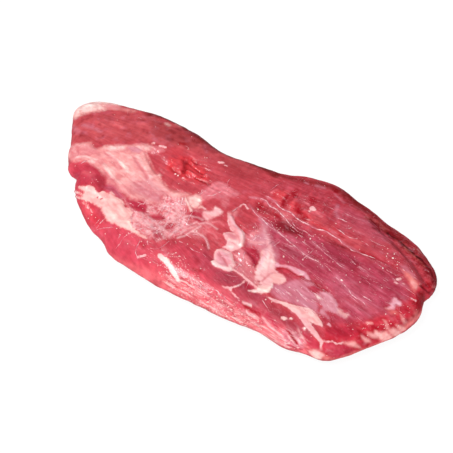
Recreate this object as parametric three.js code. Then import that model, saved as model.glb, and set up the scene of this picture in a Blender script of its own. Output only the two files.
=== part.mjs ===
// A raw flank steak lying flat: one whole flat muscle of beef, broad and thick towards one end and
// tapering to a blunt tip at the other. It is one solid piece of meat. Its fat, its silverskin and
// its fibres are only its finish, so they are no separate solids here.
//
// Millimetres, +Z up. The length runs along X, with the tapered tip towards -X. The middle of the
// outline's box is the origin, and the underside lies flat on z = 0.
import * as THREE from "three";
import { mergeVertices } from "three/addons/utils/BufferGeometryUtils.js";

// ---- Driving sizes, mm ----
const TIP_THICK = 18; // at the tapered tip
const MIDDLE_THICK = 25; // over the belly of the muscle
const BROAD_THICK = 21; // at the broad end
const CROWN = 3.5; // how far the top falls from the middle line to the shoulders
const NEAR_RIM = 15; // plan width of the rounded side wall along the front edge
const FAR_RIM = 11; // along the far edge
const BROAD_RIM = 9; // across the broad end, where the knife cut it steeply
const WIDEST_SHARE = 0.42; // height of the bulging side's widest line, as a share of the thickness

// Where the thickness starts and stops changing along the length.
const TIP_X = -160;
const BELLY_START_X = -70;
const BELLY_END_X = 70;
const BROAD_X = 160;

// The middle line, from which every cross-section runs out to the edge.
const SPINE_START = new THREE.Vector2(-121, 14);
const SPINE_END = new THREE.Vector2(125, 4);

// The outline seen from above, from the tapered tip along the front edge to the broad end, and back
// along the far edge. Its notches and lobes are where the trimming knife and the membranes pulled.
const FRONT_EDGE = [
  [-167, 28], // the tapered tip
  [-161, 15],
  [-148, -2],
  [-135, -21],
  [-127, -29],
  [-118, -31], // the notch in the slanting end
  [-111, -41],
  [-96, -53],
  [-76, -64],
  [-61, -68],
  [-49, -74], // the step where a lobe of fat ends
  [-27, -76],
  [-4, -76.5],
  [29, -74],
  [59, -71],
  [83, -67],
  [103, -67],
  [116, -63],
  [132, -59], // the near corner of the broad end
  [142, -47],
  [152, -28],
  [163, -9],
];
const BACK_EDGE = [
  [167, 12], // the middle of the broad end
  [162, 28], // the nick between the end and the outer flap
  [164, 37],
  [160, 49],
  [146, 60],
  [128, 67],
  [106, 70],
  [81, 73],
  [58, 77.5], // the broadest bulge
  [37, 73],
  [19, 64],
  [-9, 58.5],
  [-37, 54], // the waist
  [-65, 58],
  [-103, 58],
  [-120, 55],
  [-144, 49],
  [-160, 41],
];

// Rises and hollows of the upper side: where each one lies, how long and wide it is, how far it is
// turned from the X axis in degrees, and how far it stands up.
const SWELLS = [
  { x: 36, y: -54, long: 95, wide: 15, turn: 2, rise: 2.4 }, // the roll along the front edge
  { x: -19, y: -26, long: 60, wide: 16, turn: -12, rise: -1.8 }, // the hollow behind that roll
  { x: -94, y: 38, long: 55, wide: 15, turn: 0, rise: 2.0 }, // the thick band along the far edge
  { x: 71, y: 40, long: 60, wide: 20, turn: -8, rise: 1.6 }, // the swell of the far side
  { x: 31, y: 18, long: 22, wide: 10, turn: 10, rise: -1.4 }, // the puckered hollow
  { x: -44, y: 26, long: 17, wide: 7, turn: -8, rise: -2.6 }, // the torn pit
  { x: 119, y: -8, long: 40, wide: 26, turn: 0, rise: 1.2 }, // the broad end's flat swell
];

// The cleft between the main muscle and the thin outer flap on the far side of the broad end.
const CLEFT = [
  [87, 62],
  [107, 57],
  [129, 51],
  [148, 43],
  [165, 31],
];
const CLEFT_DEEP = 5.5;
const CLEFT_HALF_WIDE = 4.2;
const FLAP_DROP = 3; // how much lower the flap lies than the muscle

// ---- Mesh fineness ----
const STATIONS = 86; // cross-sections along the length
const TOP_ROWS = 14; // across the upper side, from the middle line to the shoulder
const RIM_ROWS = 10; // round the side wall
const UNDER_ROWS = 2; // across the flat underside
const OUTLINE_STEPS = 40; // points drawn between two outline corners

const { lerp, smoothstep, degToRad } = THREE.MathUtils;
const flatPoint = ([x, y]) => new THREE.Vector3(x, y, 0);

// Points at equal distances along a chain of points.
function evenly(chain, count) {
  const path = new THREE.CurvePath();
  for (let i = 1; i < chain.length; i++)
    path.add(new THREE.LineCurve3(chain[i - 1], chain[i]));
  return path.getSpacedPoints(count);
}

// The front and the far edge, both from the tapered tip to the broad end, with a point at each station.
function edges() {
  const corners = [...FRONT_EDGE, ...BACK_EDGE].map(flatPoint);
  const curve = new THREE.CatmullRomCurve3(corners, true, "centripetal");
  const drawn = curve.getPoints(corners.length * OUTLINE_STEPS);
  const turning = FRONT_EDGE.length * OUTLINE_STEPS;
  return {
    front: evenly(drawn.slice(0, turning + 1), STATIONS),
    back: evenly(drawn.slice(turning).reverse(), STATIONS),
  };
}

// The muscle's thickness along its length, before its crown and swells.
function thickness(x) {
  const tipSide = lerp(TIP_THICK, MIDDLE_THICK, smoothstep(x, TIP_X, BELLY_START_X));
  const broadSide = lerp(MIDDLE_THICK, BROAD_THICK, smoothstep(x, BELLY_END_X, BROAD_X));
  return tipSide + broadSide - MIDDLE_THICK;
}

function swellAt(x, y) {
  let sum = 0;
  for (const s of SWELLS) {
    const turn = degToRad(s.turn);
    const along = (x - s.x) * Math.cos(turn) + (y - s.y) * Math.sin(turn);
    const across = (y - s.y) * Math.cos(turn) - (x - s.x) * Math.sin(turn);
    sum += s.rise * Math.exp(-((along / s.long) ** 2) - (across / s.wide) ** 2);
  }
  return sum;
}

const cleftLine = new THREE.CatmullRomCurve3(CLEFT.map(flatPoint), false, "centripetal").getPoints(60);

// How far the cleft cuts down at a point, and how much lower the flap beyond it lies.
function cleftAt(x, y) {
  const here = new THREE.Vector3(x, y, 0);
  let nearest = cleftLine[0];
  for (const p of cleftLine)
    if (here.distanceToSquared(p) < here.distanceToSquared(nearest)) nearest = p;
  const away = here.distanceTo(nearest);
  const along = smoothstep(x, CLEFT[0][0], CLEFT[1][0]); // it fades out towards the middle
  const beyond = y > nearest.y ? smoothstep(away, 0, CLEFT_HALF_WIDE) : 0;
  const cut = CLEFT_DEEP * Math.exp(-((away / CLEFT_HALF_WIDE) ** 2));
  return along * Math.max(cut, FLAP_DROP * beyond);
}

// Height of the upper side at a plan point; share is 0 on the middle line and 1 at the edge.
function topHeight(x, y, share) {
  return thickness(x) - CROWN * share ** 2 + swellAt(x, y) - cleftAt(x, y);
}

// Plan width of the side wall where it faces the way that out points.
function rimWidth(out) {
  const nearShare = smoothstep(-out.y, -1, 1);
  const endShare = smoothstep(out.x, 0.3, 1);
  return lerp(lerp(FAR_RIM, NEAR_RIM, nearShare), BROAD_RIM, endShare);
}

// A cross-section: points from the middle line over the shoulder, round the side and back underneath.
function section(spine, edge) {
  const out = new THREE.Vector2(edge.x - spine.x, edge.y - spine.y);
  const reach = out.length();
  out.normalize();
  const rim = rimWidth(out);
  const shoulder = reach - rim;
  const at = (distance) => new THREE.Vector2(spine.x, spine.y).addScaledVector(out, distance);
  const points = [];
  for (let j = 0; j < TOP_ROWS; j++) {
    const distance = (shoulder * j) / TOP_ROWS;
    const p = at(distance);
    points.push(new THREE.Vector3(p.x, p.y, topHeight(p.x, p.y, distance / reach)));
  }
  for (let j = 0; j <= RIM_ROWS; j++) {
    const angle = Math.PI * (0.5 - j / RIM_ROWS);
    const distance = shoulder + rim * Math.cos(angle);
    const p = at(distance);
    const top = topHeight(p.x, p.y, distance / reach);
    const widest = WIDEST_SHARE * top;
    const z = angle > 0 ? widest + (top - widest) * Math.sin(angle) : widest * (1 + Math.sin(angle));
    points.push(new THREE.Vector3(p.x, p.y, z));
  }
  for (let j = 1; j <= UNDER_ROWS; j++) {
    const p = at(shoulder * (1 - j / UNDER_ROWS));
    points.push(new THREE.Vector3(p.x, p.y, 0));
  }
  return points;
}

// The cross-sections run round the outline, along the front edge and back along the far one.
function steakGeometry() {
  const { front, back } = edges();
  const sections = [];
  for (let u = 0; u < 2 * STATIONS; u++) {
    const station = u <= STATIONS ? u : 2 * STATIONS - u;
    const spine = SPINE_START.clone().lerp(SPINE_END, station / STATIONS);
    sections.push(section(spine, u <= STATIONS ? front[station] : back[station]));
  }
  const positions = [];
  sections.forEach((here, u) => {
    const next = sections[(u + 1) % sections.length];
    for (let j = 0; j + 1 < here.length; j++)
      for (const p of [here[j], here[j + 1], next[j + 1], here[j], next[j + 1], next[j]])
        positions.push(p.x, p.y, p.z);
  });
  const loose = new THREE.BufferGeometry();
  loose.setAttribute("position", new THREE.Float32BufferAttribute(positions, 3));
  const geometry = mergeVertices(loose, 1e-3);
  geometry.computeVertexNormals();
  return geometry;
}

const rawBeef = new THREE.MeshStandardMaterial({ color: 0xb8404f, roughness: 0.38, metalness: 0 });

const steak = new THREE.Mesh(steakGeometry(), rawBeef);
steak.name = "steak";

const part = new THREE.Group();
part.add(steak);

export default part;
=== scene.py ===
# %% [markdown]
# # A raw flank steak
# This lesson builds one trimmed flank steak: a single flat muscle of beef that lies on its underside.
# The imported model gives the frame, so every size below is in the same millimetres as the solid one,
# turned to metres for Blender. The steak is one closed skin. Its fat sheets, silverskin and fibres
# are raised or painted on that skin, and the loose threads, crumbs and beads of juice that stand proud
# of it are three small pieces of their own.

# %% Load the frame
import math

import bpy
import numpy as np
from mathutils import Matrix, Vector
from mathutils.kdtree import KDTree


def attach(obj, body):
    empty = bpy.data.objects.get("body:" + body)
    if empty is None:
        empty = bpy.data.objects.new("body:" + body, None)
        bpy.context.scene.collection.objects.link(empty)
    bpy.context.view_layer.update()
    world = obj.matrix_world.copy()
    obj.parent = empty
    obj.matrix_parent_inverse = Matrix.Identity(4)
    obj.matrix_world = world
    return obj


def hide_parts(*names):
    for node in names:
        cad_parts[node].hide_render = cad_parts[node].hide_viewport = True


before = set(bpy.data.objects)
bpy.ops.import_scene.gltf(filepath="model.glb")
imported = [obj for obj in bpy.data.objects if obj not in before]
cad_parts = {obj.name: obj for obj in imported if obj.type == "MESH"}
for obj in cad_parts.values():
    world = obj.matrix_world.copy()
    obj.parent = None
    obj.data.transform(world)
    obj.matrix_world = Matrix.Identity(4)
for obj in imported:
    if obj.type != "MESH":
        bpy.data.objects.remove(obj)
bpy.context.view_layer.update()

MM = 0.001

# %% [markdown]
# ## Camera, floor and light
# The steak was photographed on plain white from about 50 degrees above, with the tapered tip away to
# the left. A long lens from about a metre keeps the perspective mild. The light is a large soft box
# from the front left, a small one behind it for the wet glints and a low one that fills the near
# side, all in a bright even room, so there is hardly any shadow.

# %% Camera
CAMERA_TURN = math.radians(36)
CAMERA_RISE = math.radians(50)
CAMERA_AWAY = 0.950
CAMERA_AIM = Vector((0.0068, -0.0026, 0.010))


def direction(turn, rise):
    """The way from the steak to something that stands at this turn and rise."""
    return Vector((math.sin(turn) * math.cos(rise), -math.cos(turn) * math.cos(rise), math.sin(rise)))


def linked(name, data):
    """A new object with this data, put in the scene."""
    thing = bpy.data.objects.new(name, data)
    bpy.context.collection.objects.link(thing)
    return thing


lens = bpy.data.cameras.new("photo_lens")
lens.lens, lens.sensor_width = 100, 36
lens.clip_start, lens.clip_end = 0.05, 40
camera = linked("photo_camera", lens)
camera.location = CAMERA_AIM + direction(CAMERA_TURN, CAMERA_RISE) * CAMERA_AWAY
camera.rotation_mode = "QUATERNION"
camera.rotation_quaternion = (-direction(CAMERA_TURN, CAMERA_RISE)).to_track_quat("-Z", "Y")
bpy.context.scene.camera = camera

# %% Floor and room
FLOOR_SIZE = 12.0
FLOOR_WHITE = 0.80
FLOOR_SEEN = 0.075
FLOOR_MIRRORED = 0.30
FLOOR_GLOW = 0.94
ROOM_LIGHT = 0.34

bpy.ops.mesh.primitive_plane_add(size=FLOOR_SIZE)
floor = bpy.context.object
floor.name = "floor"
floor_paint = bpy.data.materials.new("pale_floor")
floor_paint.use_nodes = True
floor_shader = floor_paint.node_tree.nodes["Principled BSDF"]
floor_shader.inputs["Roughness"].default_value = 0.9
floor_shader.inputs["Specular IOR Level"].default_value = 0.0
floor_shader.inputs["Emission Color"].default_value = (1, 1, 1, 1)
# The camera sees glowing paper with only a trace of shadow, but the meat is lit by plain white paper,
# and its wet sides mirror a dimmer one, or every edge would get a grey rim.
floor_nodes, floor_links = floor_paint.node_tree.nodes, floor_paint.node_tree.links
light_path = floor_nodes.new("ShaderNodeLightPath").outputs
for ray, label, unseen, seen in (
        ("Is Camera Ray", "Emission Strength", 0.0, FLOOR_GLOW),
        ("Is Camera Ray", "Base Color", FLOOR_WHITE, FLOOR_SEEN),
        ("Is Glossy Ray", "Base Color", FLOOR_WHITE, FLOOR_MIRRORED)):
    pick = floor_nodes.new("ShaderNodeMapRange")
    pick.inputs["To Min"].default_value, pick.inputs["To Max"].default_value = unseen, seen
    floor_links.new(light_path[ray], pick.inputs["Value"])
    before = floor_shader.inputs[label].links
    if before:
        floor_links.new(before[0].from_socket, pick.inputs["To Min"])
    floor_links.new(pick.outputs["Result"], floor_shader.inputs[label])
floor.data.materials.append(floor_paint)

room = bpy.data.worlds.new("bright_room")
room.use_nodes = True
room.node_tree.nodes["Background"].inputs["Color"].default_value = (1.0, 1.0, 1.0, 1)
room.node_tree.nodes["Background"].inputs["Strength"].default_value = ROOM_LIGHT
bpy.context.scene.world = room
bpy.context.scene.view_settings.view_transform = "Standard"

# %% Lights: name, the way to it from the steak, how far away it is, its side, its power
for name, way, far, side, power in (
        ("key_box", (-0.30, -0.34, 0.89), 2.6, 1.2, 60.0),
        ("glint_box", (-0.50, 0.30, 0.81), 2.2, 0.30, 12.0),
        ("fill_box", (0.62, -0.72, 0.30), 2.8, 1.8, 46.0)):
    light = bpy.data.lights.new(name, "AREA")
    light.shape, light.size, light.energy = "SQUARE", side, power
    box = linked(name, light)
    box.location = Vector(way).normalized() * far
    box.rotation_mode = "QUATERNION"
    box.rotation_quaternion = (-Vector(way)).to_track_quat("-Z", "Y")

# %% [markdown]
# ## The shape of the muscle
# The solid model draws this steak as a closed outline, a thickness that swells from the tip to the
# belly and thins to the broad end, a few broad rises and hollows, and a cleft that parts a thin flap
# from the muscle on the far side. The skin repeats those sizes with many more points, so it fills
# the same space and has room for fine relief. Every cross-section starts on a middle line and runs
# over the top, round the side wall and back underneath.

# %% Outline and sizes, mm
FRONT_EDGE = [(-167, 28), (-161, 15), (-148, -2), (-135, -21), (-127, -29), (-118, -31), (-111, -41),
              (-96, -53), (-76, -64), (-61, -68), (-49, -74), (-27, -76), (-4, -76.5), (29, -74),
              (59, -71), (83, -67), (103, -67), (116, -63), (132, -59), (142, -47), (152, -28), (163, -9)]
BACK_EDGE = [(167, 12), (162, 28), (164, 37), (160, 49), (146, 60), (128, 67), (106, 70), (81, 73),
             (58, 77.5), (37, 73), (19, 64), (-9, 58.5), (-37, 54), (-65, 58), (-103, 58), (-120, 55),
             (-144, 49), (-160, 41)]
TIP_THICK, MIDDLE_THICK, BROAD_THICK = 18, 25, 21
TIP_X, BELLY_START_X, BELLY_END_X, BROAD_X = -160, -70, 70, 160
CROWN = 3.5
NEAR_RIM, FAR_RIM, BROAD_RIM = 15, 11, 9
WIDEST_SHARE = 0.42
SPINE_START, SPINE_END = np.array([-121.0, 14.0]), np.array([125.0, 4.0])
SWELLS = [  # x, y, long, wide, turn in degrees, rise
    (36, -54, 95, 15, 2, 2.4), (-19, -26, 60, 16, -12, -1.8), (-94, 38, 55, 15, 0, 2.0),
    (71, 40, 60, 20, -8, 1.6), (31, 18, 22, 10, 10, -1.4), (-44, 26, 17, 7, -8, -2.6),
    (119, -8, 40, 26, 0, 1.2)]
CLEFT = [(87, 62), (107, 57), (129, 51), (148, 43), (165, 31)]
CLEFT_DEEP, CLEFT_HALF_WIDE, FLAP_DROP = 5.5, 4.2, 3

# %% Reading marks
def value(word):
    """A dash means none, a word that starts with a letter is a name, and the rest is a number."""
    if word == "-":
        return None
    return word if word[0].isalpha() else float(word)


def marks(text):
    """Rows of names and numbers, each followed by its corners: x,y pairs in half millimetres."""
    rows = [[[]]]
    for word in text.split():
        if "," in word:
            rows[-1][-1].append(tuple(int(v) / 2 for v in word.split(",")))
            continue
        if rows[-1][-1]:
            rows.append([[]])
        rows[-1].insert(-1, value(word))
    return rows


# %% Ramps and curves
def smooth(value, start, end):
    """0 before start, 1 after end, and an S-shaped ramp between them."""
    t = np.clip((value - start) / (end - start), 0, 1)
    return t * t * (3 - 2 * t)


def rounded_path(corners, steps, closed):
    """Points on the smooth curve through the corners (a centripetal Catmull-Rom curve)."""
    p = np.array(corners, float)
    count = len(p)
    if closed:
        rows = [[p[(i + k) % count] for k in (-1, 0, 1, 2)] for i in range(count)]
    else:
        long = np.vstack([2 * p[0] - p[1], p, 2 * p[-1] - p[-2]])
        rows = [long[i : i + 4] for i in range(count - 1)]
    t = (np.arange(steps) / steps)[:, None]
    made = []
    for a, b, c, d in rows:
        gap = [max(np.linalg.norm(q) ** 0.5, 1e-4) for q in (b - a, c - b, d - c)]
        leave = ((b - a) / gap[0] - (c - a) / (gap[0] + gap[1]) + (c - b) / gap[1]) * gap[1]
        reach = ((c - b) / gap[1] - (d - b) / (gap[1] + gap[2]) + (d - c) / gap[2]) * gap[1]
        made.append(b + leave * t + (3 * (c - b) - 2 * leave - reach) * t**2
                    + (2 * (b - c) + leave + reach) * t**3)
    points = np.concatenate(made)
    return points if closed else np.vstack([points, p[-1:]])


def evenly(chain, count):
    """count + 1 points at equal distances along a chain."""
    walked = np.concatenate([[0], np.cumsum(np.linalg.norm(np.diff(chain, axis=0), axis=1))])
    stops = np.linspace(0, walked[-1], count + 1)
    return np.stack([np.interp(stops, walked, chain[:, k]) for k in range(chain.shape[1])], 1)


# %% Height of the upper side
def thickness(x):
    tip = TIP_THICK + (MIDDLE_THICK - TIP_THICK) * smooth(x, TIP_X, BELLY_START_X)
    broad = MIDDLE_THICK + (BROAD_THICK - MIDDLE_THICK) * smooth(x, BELLY_END_X, BROAD_X)
    return tip + broad - MIDDLE_THICK


def swelling(x, y):
    total = np.zeros_like(x)
    for centre_x, centre_y, long, wide, turn, rise in SWELLS:
        c, s = math.cos(math.radians(turn)), math.sin(math.radians(turn))
        along = (x - centre_x) * c + (y - centre_y) * s
        across = (y - centre_y) * c - (x - centre_x) * s
        total += rise * np.exp(-((along / long) ** 2) - (across / wide) ** 2)
    return total


CLEFT_LINE = rounded_path(CLEFT, 15, closed=False)


def cleft_cut(x, y):
    square = (x[..., None] - CLEFT_LINE[:, 0]) ** 2 + (y[..., None] - CLEFT_LINE[:, 1]) ** 2
    nearest = square.argmin(-1)
    away = np.sqrt(square.min(-1))
    beyond = np.where(y > CLEFT_LINE[nearest, 1], smooth(away, 0, CLEFT_HALF_WIDE), 0)
    cut = CLEFT_DEEP * np.exp(-((away / CLEFT_HALF_WIDE) ** 2))
    return smooth(x, CLEFT[0][0], CLEFT[1][0]) * np.maximum(cut, FLAP_DROP * beyond)


def top_height(x, y, share):
    return thickness(x) - CROWN * share**2 + swelling(x, y) - cleft_cut(x, y)


# %% [markdown]
# ## The grid of the skin
# The skin is a grid: columns run round the outline and rows run from the middle line outwards. The
# two halves of the first row lie on the middle line, so they share their points there, and the last
# row closes the underside in the same way. Each point also gets an unrolled place, its distance from
# the middle line measured over the surface. On the top that is its plan, and round the side wall it
# goes on like paper rolled flat. What the surface carries is drawn in unrolled millimetres, so a
# sheet of fat bends over the shoulder without being smeared.

# %% Grid of the skin
STATIONS = 470
TOP_ROWS, OVER_ROWS, BELOW_ROWS, UNDER_ROWS = 74, 16, 8, 4

corners = FRONT_EDGE + BACK_EDGE
drawn = rounded_path(corners, 40, closed=True)
turning = len(FRONT_EDGE) * 40
front = evenly(drawn[: turning + 1], STATIONS)
back = evenly(np.vstack([drawn[turning:], drawn[:1]])[::-1], STATIONS)
station = np.concatenate([np.arange(STATIONS + 1), np.arange(STATIONS - 1, 0, -1)])
edge = np.concatenate([front, back[STATIONS - 1 : 0 : -1]])
spine = SPINE_START + (SPINE_END - SPINE_START) * (station / STATIONS)[:, None]
outward = edge - spine
reach = np.linalg.norm(outward, axis=1)
outward /= reach[:, None]
rim = FAR_RIM + (NEAR_RIM - FAR_RIM) * smooth(-outward[:, 1], -1, 1)
rim = rim + (BROAD_RIM - rim) * smooth(outward[:, 0], 0.3, 1)
shoulder = reach - rim

over = np.linspace(90, 0, OVER_ROWS, endpoint=False)
below = np.linspace(0, -90, BELOW_ROWS + 1)
angles = np.radians(np.concatenate([over, below]))[:, None]
away = np.vstack([shoulder * np.arange(TOP_ROWS)[:, None] / TOP_ROWS, shoulder + rim * np.cos(angles)])
plan_x = spine[:, 0] + outward[:, 0] * away
plan_y = spine[:, 1] + outward[:, 1] * away
top = top_height(plan_x, plan_y, away / reach)
height = top.copy()
widest = WIDEST_SHARE * top[TOP_ROWS:]
height[TOP_ROWS:] = np.where(
    angles > 0,
    widest + (top[TOP_ROWS:] - widest) * np.sin(angles),
    widest * (1 + np.sin(angles)),
)

step_up = np.diff(height, axis=0)
step_up[: TOP_ROWS - 1] = 0  # over the top the unrolled place is simply the plan
step = np.sqrt(np.diff(away, axis=0) ** 2 + step_up**2)
unrolled = np.vstack([np.zeros_like(reach), np.cumsum(step, axis=0)])
inward = shoulder * (1 - np.arange(1, UNDER_ROWS + 1)[:, None] / UNDER_ROWS)
unrolled = np.vstack([unrolled, unrolled[-1] + shoulder - inward])
away = np.vstack([away, inward])
height = np.vstack([height, np.zeros_like(inward)])

# %% Points and faces
ROWS, COLUMNS = away.shape


def laid(distance):
    return np.stack([spine[:, 0] + outward[:, 0] * distance, spine[:, 1] + outward[:, 1] * distance], -1)


index = np.empty((ROWS, COLUMNS), int)
index[0] = station
index[1:-1] = STATIONS + 1 + np.arange((ROWS - 2) * COLUMNS).reshape(ROWS - 2, COLUMNS)
index[-1] = index[-2].max() + 1 + station
POINTS = index[-1].max() + 1
place = np.zeros((POINTS, 3))
flat = np.zeros((POINTS, 2))
row_of = np.zeros(POINTS, int)
place[index] = np.concatenate([laid(away), height[..., None]], -1)
flat[index] = laid(unrolled)
row_of[index] = np.arange(ROWS)[:, None]
side_by_side = np.roll(index, -1, axis=1)
faces = np.stack([index[:-1], index[1:], side_by_side[1:], side_by_side[:-1]], -1).reshape(-1, 4)
print("skin:", POINTS, "points,", 2 * len(faces), "triangles")


def outward_normals(points):
    a, b, c, d = (points[faces[:, k]] for k in range(4))
    across = np.cross(c - a, d - b)
    total = np.zeros_like(points)
    for k in range(4):
        np.add.at(total, faces[:, k], across)
    return total / np.linalg.norm(total, axis=1)[:, None]


normal = outward_normals(place)
UNDER = row_of > TOP_ROWS + OVER_ROWS + BELOW_ROWS - 3

# %% [markdown]
# ## Soft noise
# Flesh is never even. One helper makes smooth random values in space: a lattice of random slopes,
# blended between the corners of each cell. The seed is fixed, so every run gives the same steak.

# %% Noise helper
def noise(points, seed):
    """Smooth random values, about -1 to 1, one cell of the lattice per unit."""
    cell = np.floor(points).astype(np.int64)
    part = points - cell
    blend = part**3 * (part * (part * 6 - 15) + 10)
    total = np.zeros(len(points))
    for corner in np.ndindex(2, 2, 2):
        at = cell + corner
        mixed = (at[:, 0] * 73856093) ^ (at[:, 1] * 19349663) ^ (at[:, 2] * 83492791) ^ (seed * 2654435761)
        mixed = (mixed ^ (mixed >> 13)) * 1274126177 & 0x7FFFFFFF
        mixed = (mixed ^ (mixed >> 15)) * 668265263 & 0x7FFFFFFF
        turn = (mixed & 0xFFFF) / 65536 * 2 * np.pi
        lift = ((mixed >> 15) & 0xFFFF) / 32768 - 1
        flatness = np.sqrt(np.maximum(1 - lift**2, 0))
        slope = np.stack([flatness * np.cos(turn), flatness * np.sin(turn), lift], 1)
        weight = np.where(np.array(corner) == 1, blend, 1 - blend).prod(1)
        total += weight * ((part - corner) * slope).sum(1)
    return 1.5 * total


def layered(points, seed, layers=3):
    """Noise with finer and weaker noise on top of it."""
    return sum(noise(points * 2**k, seed + k) / 2**k for k in range(layers)) / (2 - 2 ** (1 - layers))


# %% [markdown]
# ## The run of the fibres
# The fibres of a flank start together at the tapered tip and fan out a little towards the broad end.
# A point's grain place says how far along the fan it lies and how far across it. Noise that is slow
# along the fan and fast across it reads as bundles of fibre, on the top and on the cut sides alike.

# %% Grain coordinates
FAN_X, FAN_Y = -230.0, 15.0
FAN_SPAN = 290.0


def grain_place(points):
    along = points[:, 0] - FAN_X
    across = (points[:, 1] - FAN_Y) * FAN_SPAN / along
    return np.stack([along, across, points[:, 2]], 1)


grain = grain_place(place)

# %% [markdown]
# ## Drawing on the skin
# The marks are of two kinds: patches with an outline, and strokes along a path. For both, what
# matters at a point is one number, its distance from the border, with plus inside. A distance can be
# thresholded sharply, softened, roughened with noise or turned into a raised edge, all from the same
# few corners. In the tables of marks a half width makes a stroke, and a dash in its place a patch.

# %% Distance helpers
def nearby(corners_mm, margin):
    """Indices of the skin's points in the box of the corners, made larger by the margin."""
    p = np.array(corners_mm)
    low, high = p.min(0) - margin, p.max(0) + margin
    return np.flatnonzero(((flat >= low) & (flat <= high)).all(1) & ~UNDER)


def path_distance(points, corners_mm):
    p = np.array(corners_mm, float)
    nearest = np.full(len(points), 1e9)
    for a, b in zip(p[:-1], p[1:]):
        span = b - a
        share = np.clip((points - a) @ span / max(span @ span, 1e-9), 0, 1)
        nearest = np.minimum(nearest, np.linalg.norm(points - a - share[:, None] * span, axis=1))
    return nearest


def inside_distance(points, outline):
    p = np.array(outline, float)
    inside = np.zeros(len(points), bool)
    for a, b in zip(p, np.roll(p, -1, axis=0)):
        crosses = (a[1] > points[:, 1]) != (b[1] > points[:, 1])
        rise = b[1] - a[1]
        level = a[0] + (b[0] - a[0]) * (points[:, 1] - a[1]) / (rise if rise else 1e-9)
        inside ^= crosses & (points[:, 0] < level)
    distance = path_distance(points, np.vstack([p, p[:1]]))
    return np.where(inside, distance, -distance)


def border_distance(points, half_wide, corners_mm):
    """Plus inside a mark: a stroke of that half width, or a patch where the half width is None."""
    if half_wide is None:
        return inside_distance(points, corners_mm)
    return half_wide - path_distance(points, corners_mm)


flat_3d = np.column_stack([flat, place[:, 2] * 0])
ragged = layered(flat_3d / 3.4, 11) * 0.7 + noise(flat_3d / 1.3, 17) * 0.5


def measured(half_wide, corners_mm, margin, rough=0.0):
    """The skin points near a mark, and how far inside its roughened border each one lies."""
    near = nearby(corners_mm, margin)
    return near, border_distance(flat[near], half_wide, corners_mm) + rough * ragged[near]


def raise_to(layer, near, values):
    """Lifts a layer of the skin to these values where it is lower."""
    layer[near] = np.maximum(layer[near], values)


# %% [markdown]
# ## Fat
# The butcher left a wide pink sheet of fat near the tip, a thicker band whose edge runs out in
# fingers, a knotted band down the middle, and strips and scraps of it elsewhere. Real fat lies on
# top of the flesh with a torn border. So each sheet is an outline with a thickness, and noise
# roughens its border before the surface is raised and coloured from it.

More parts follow.
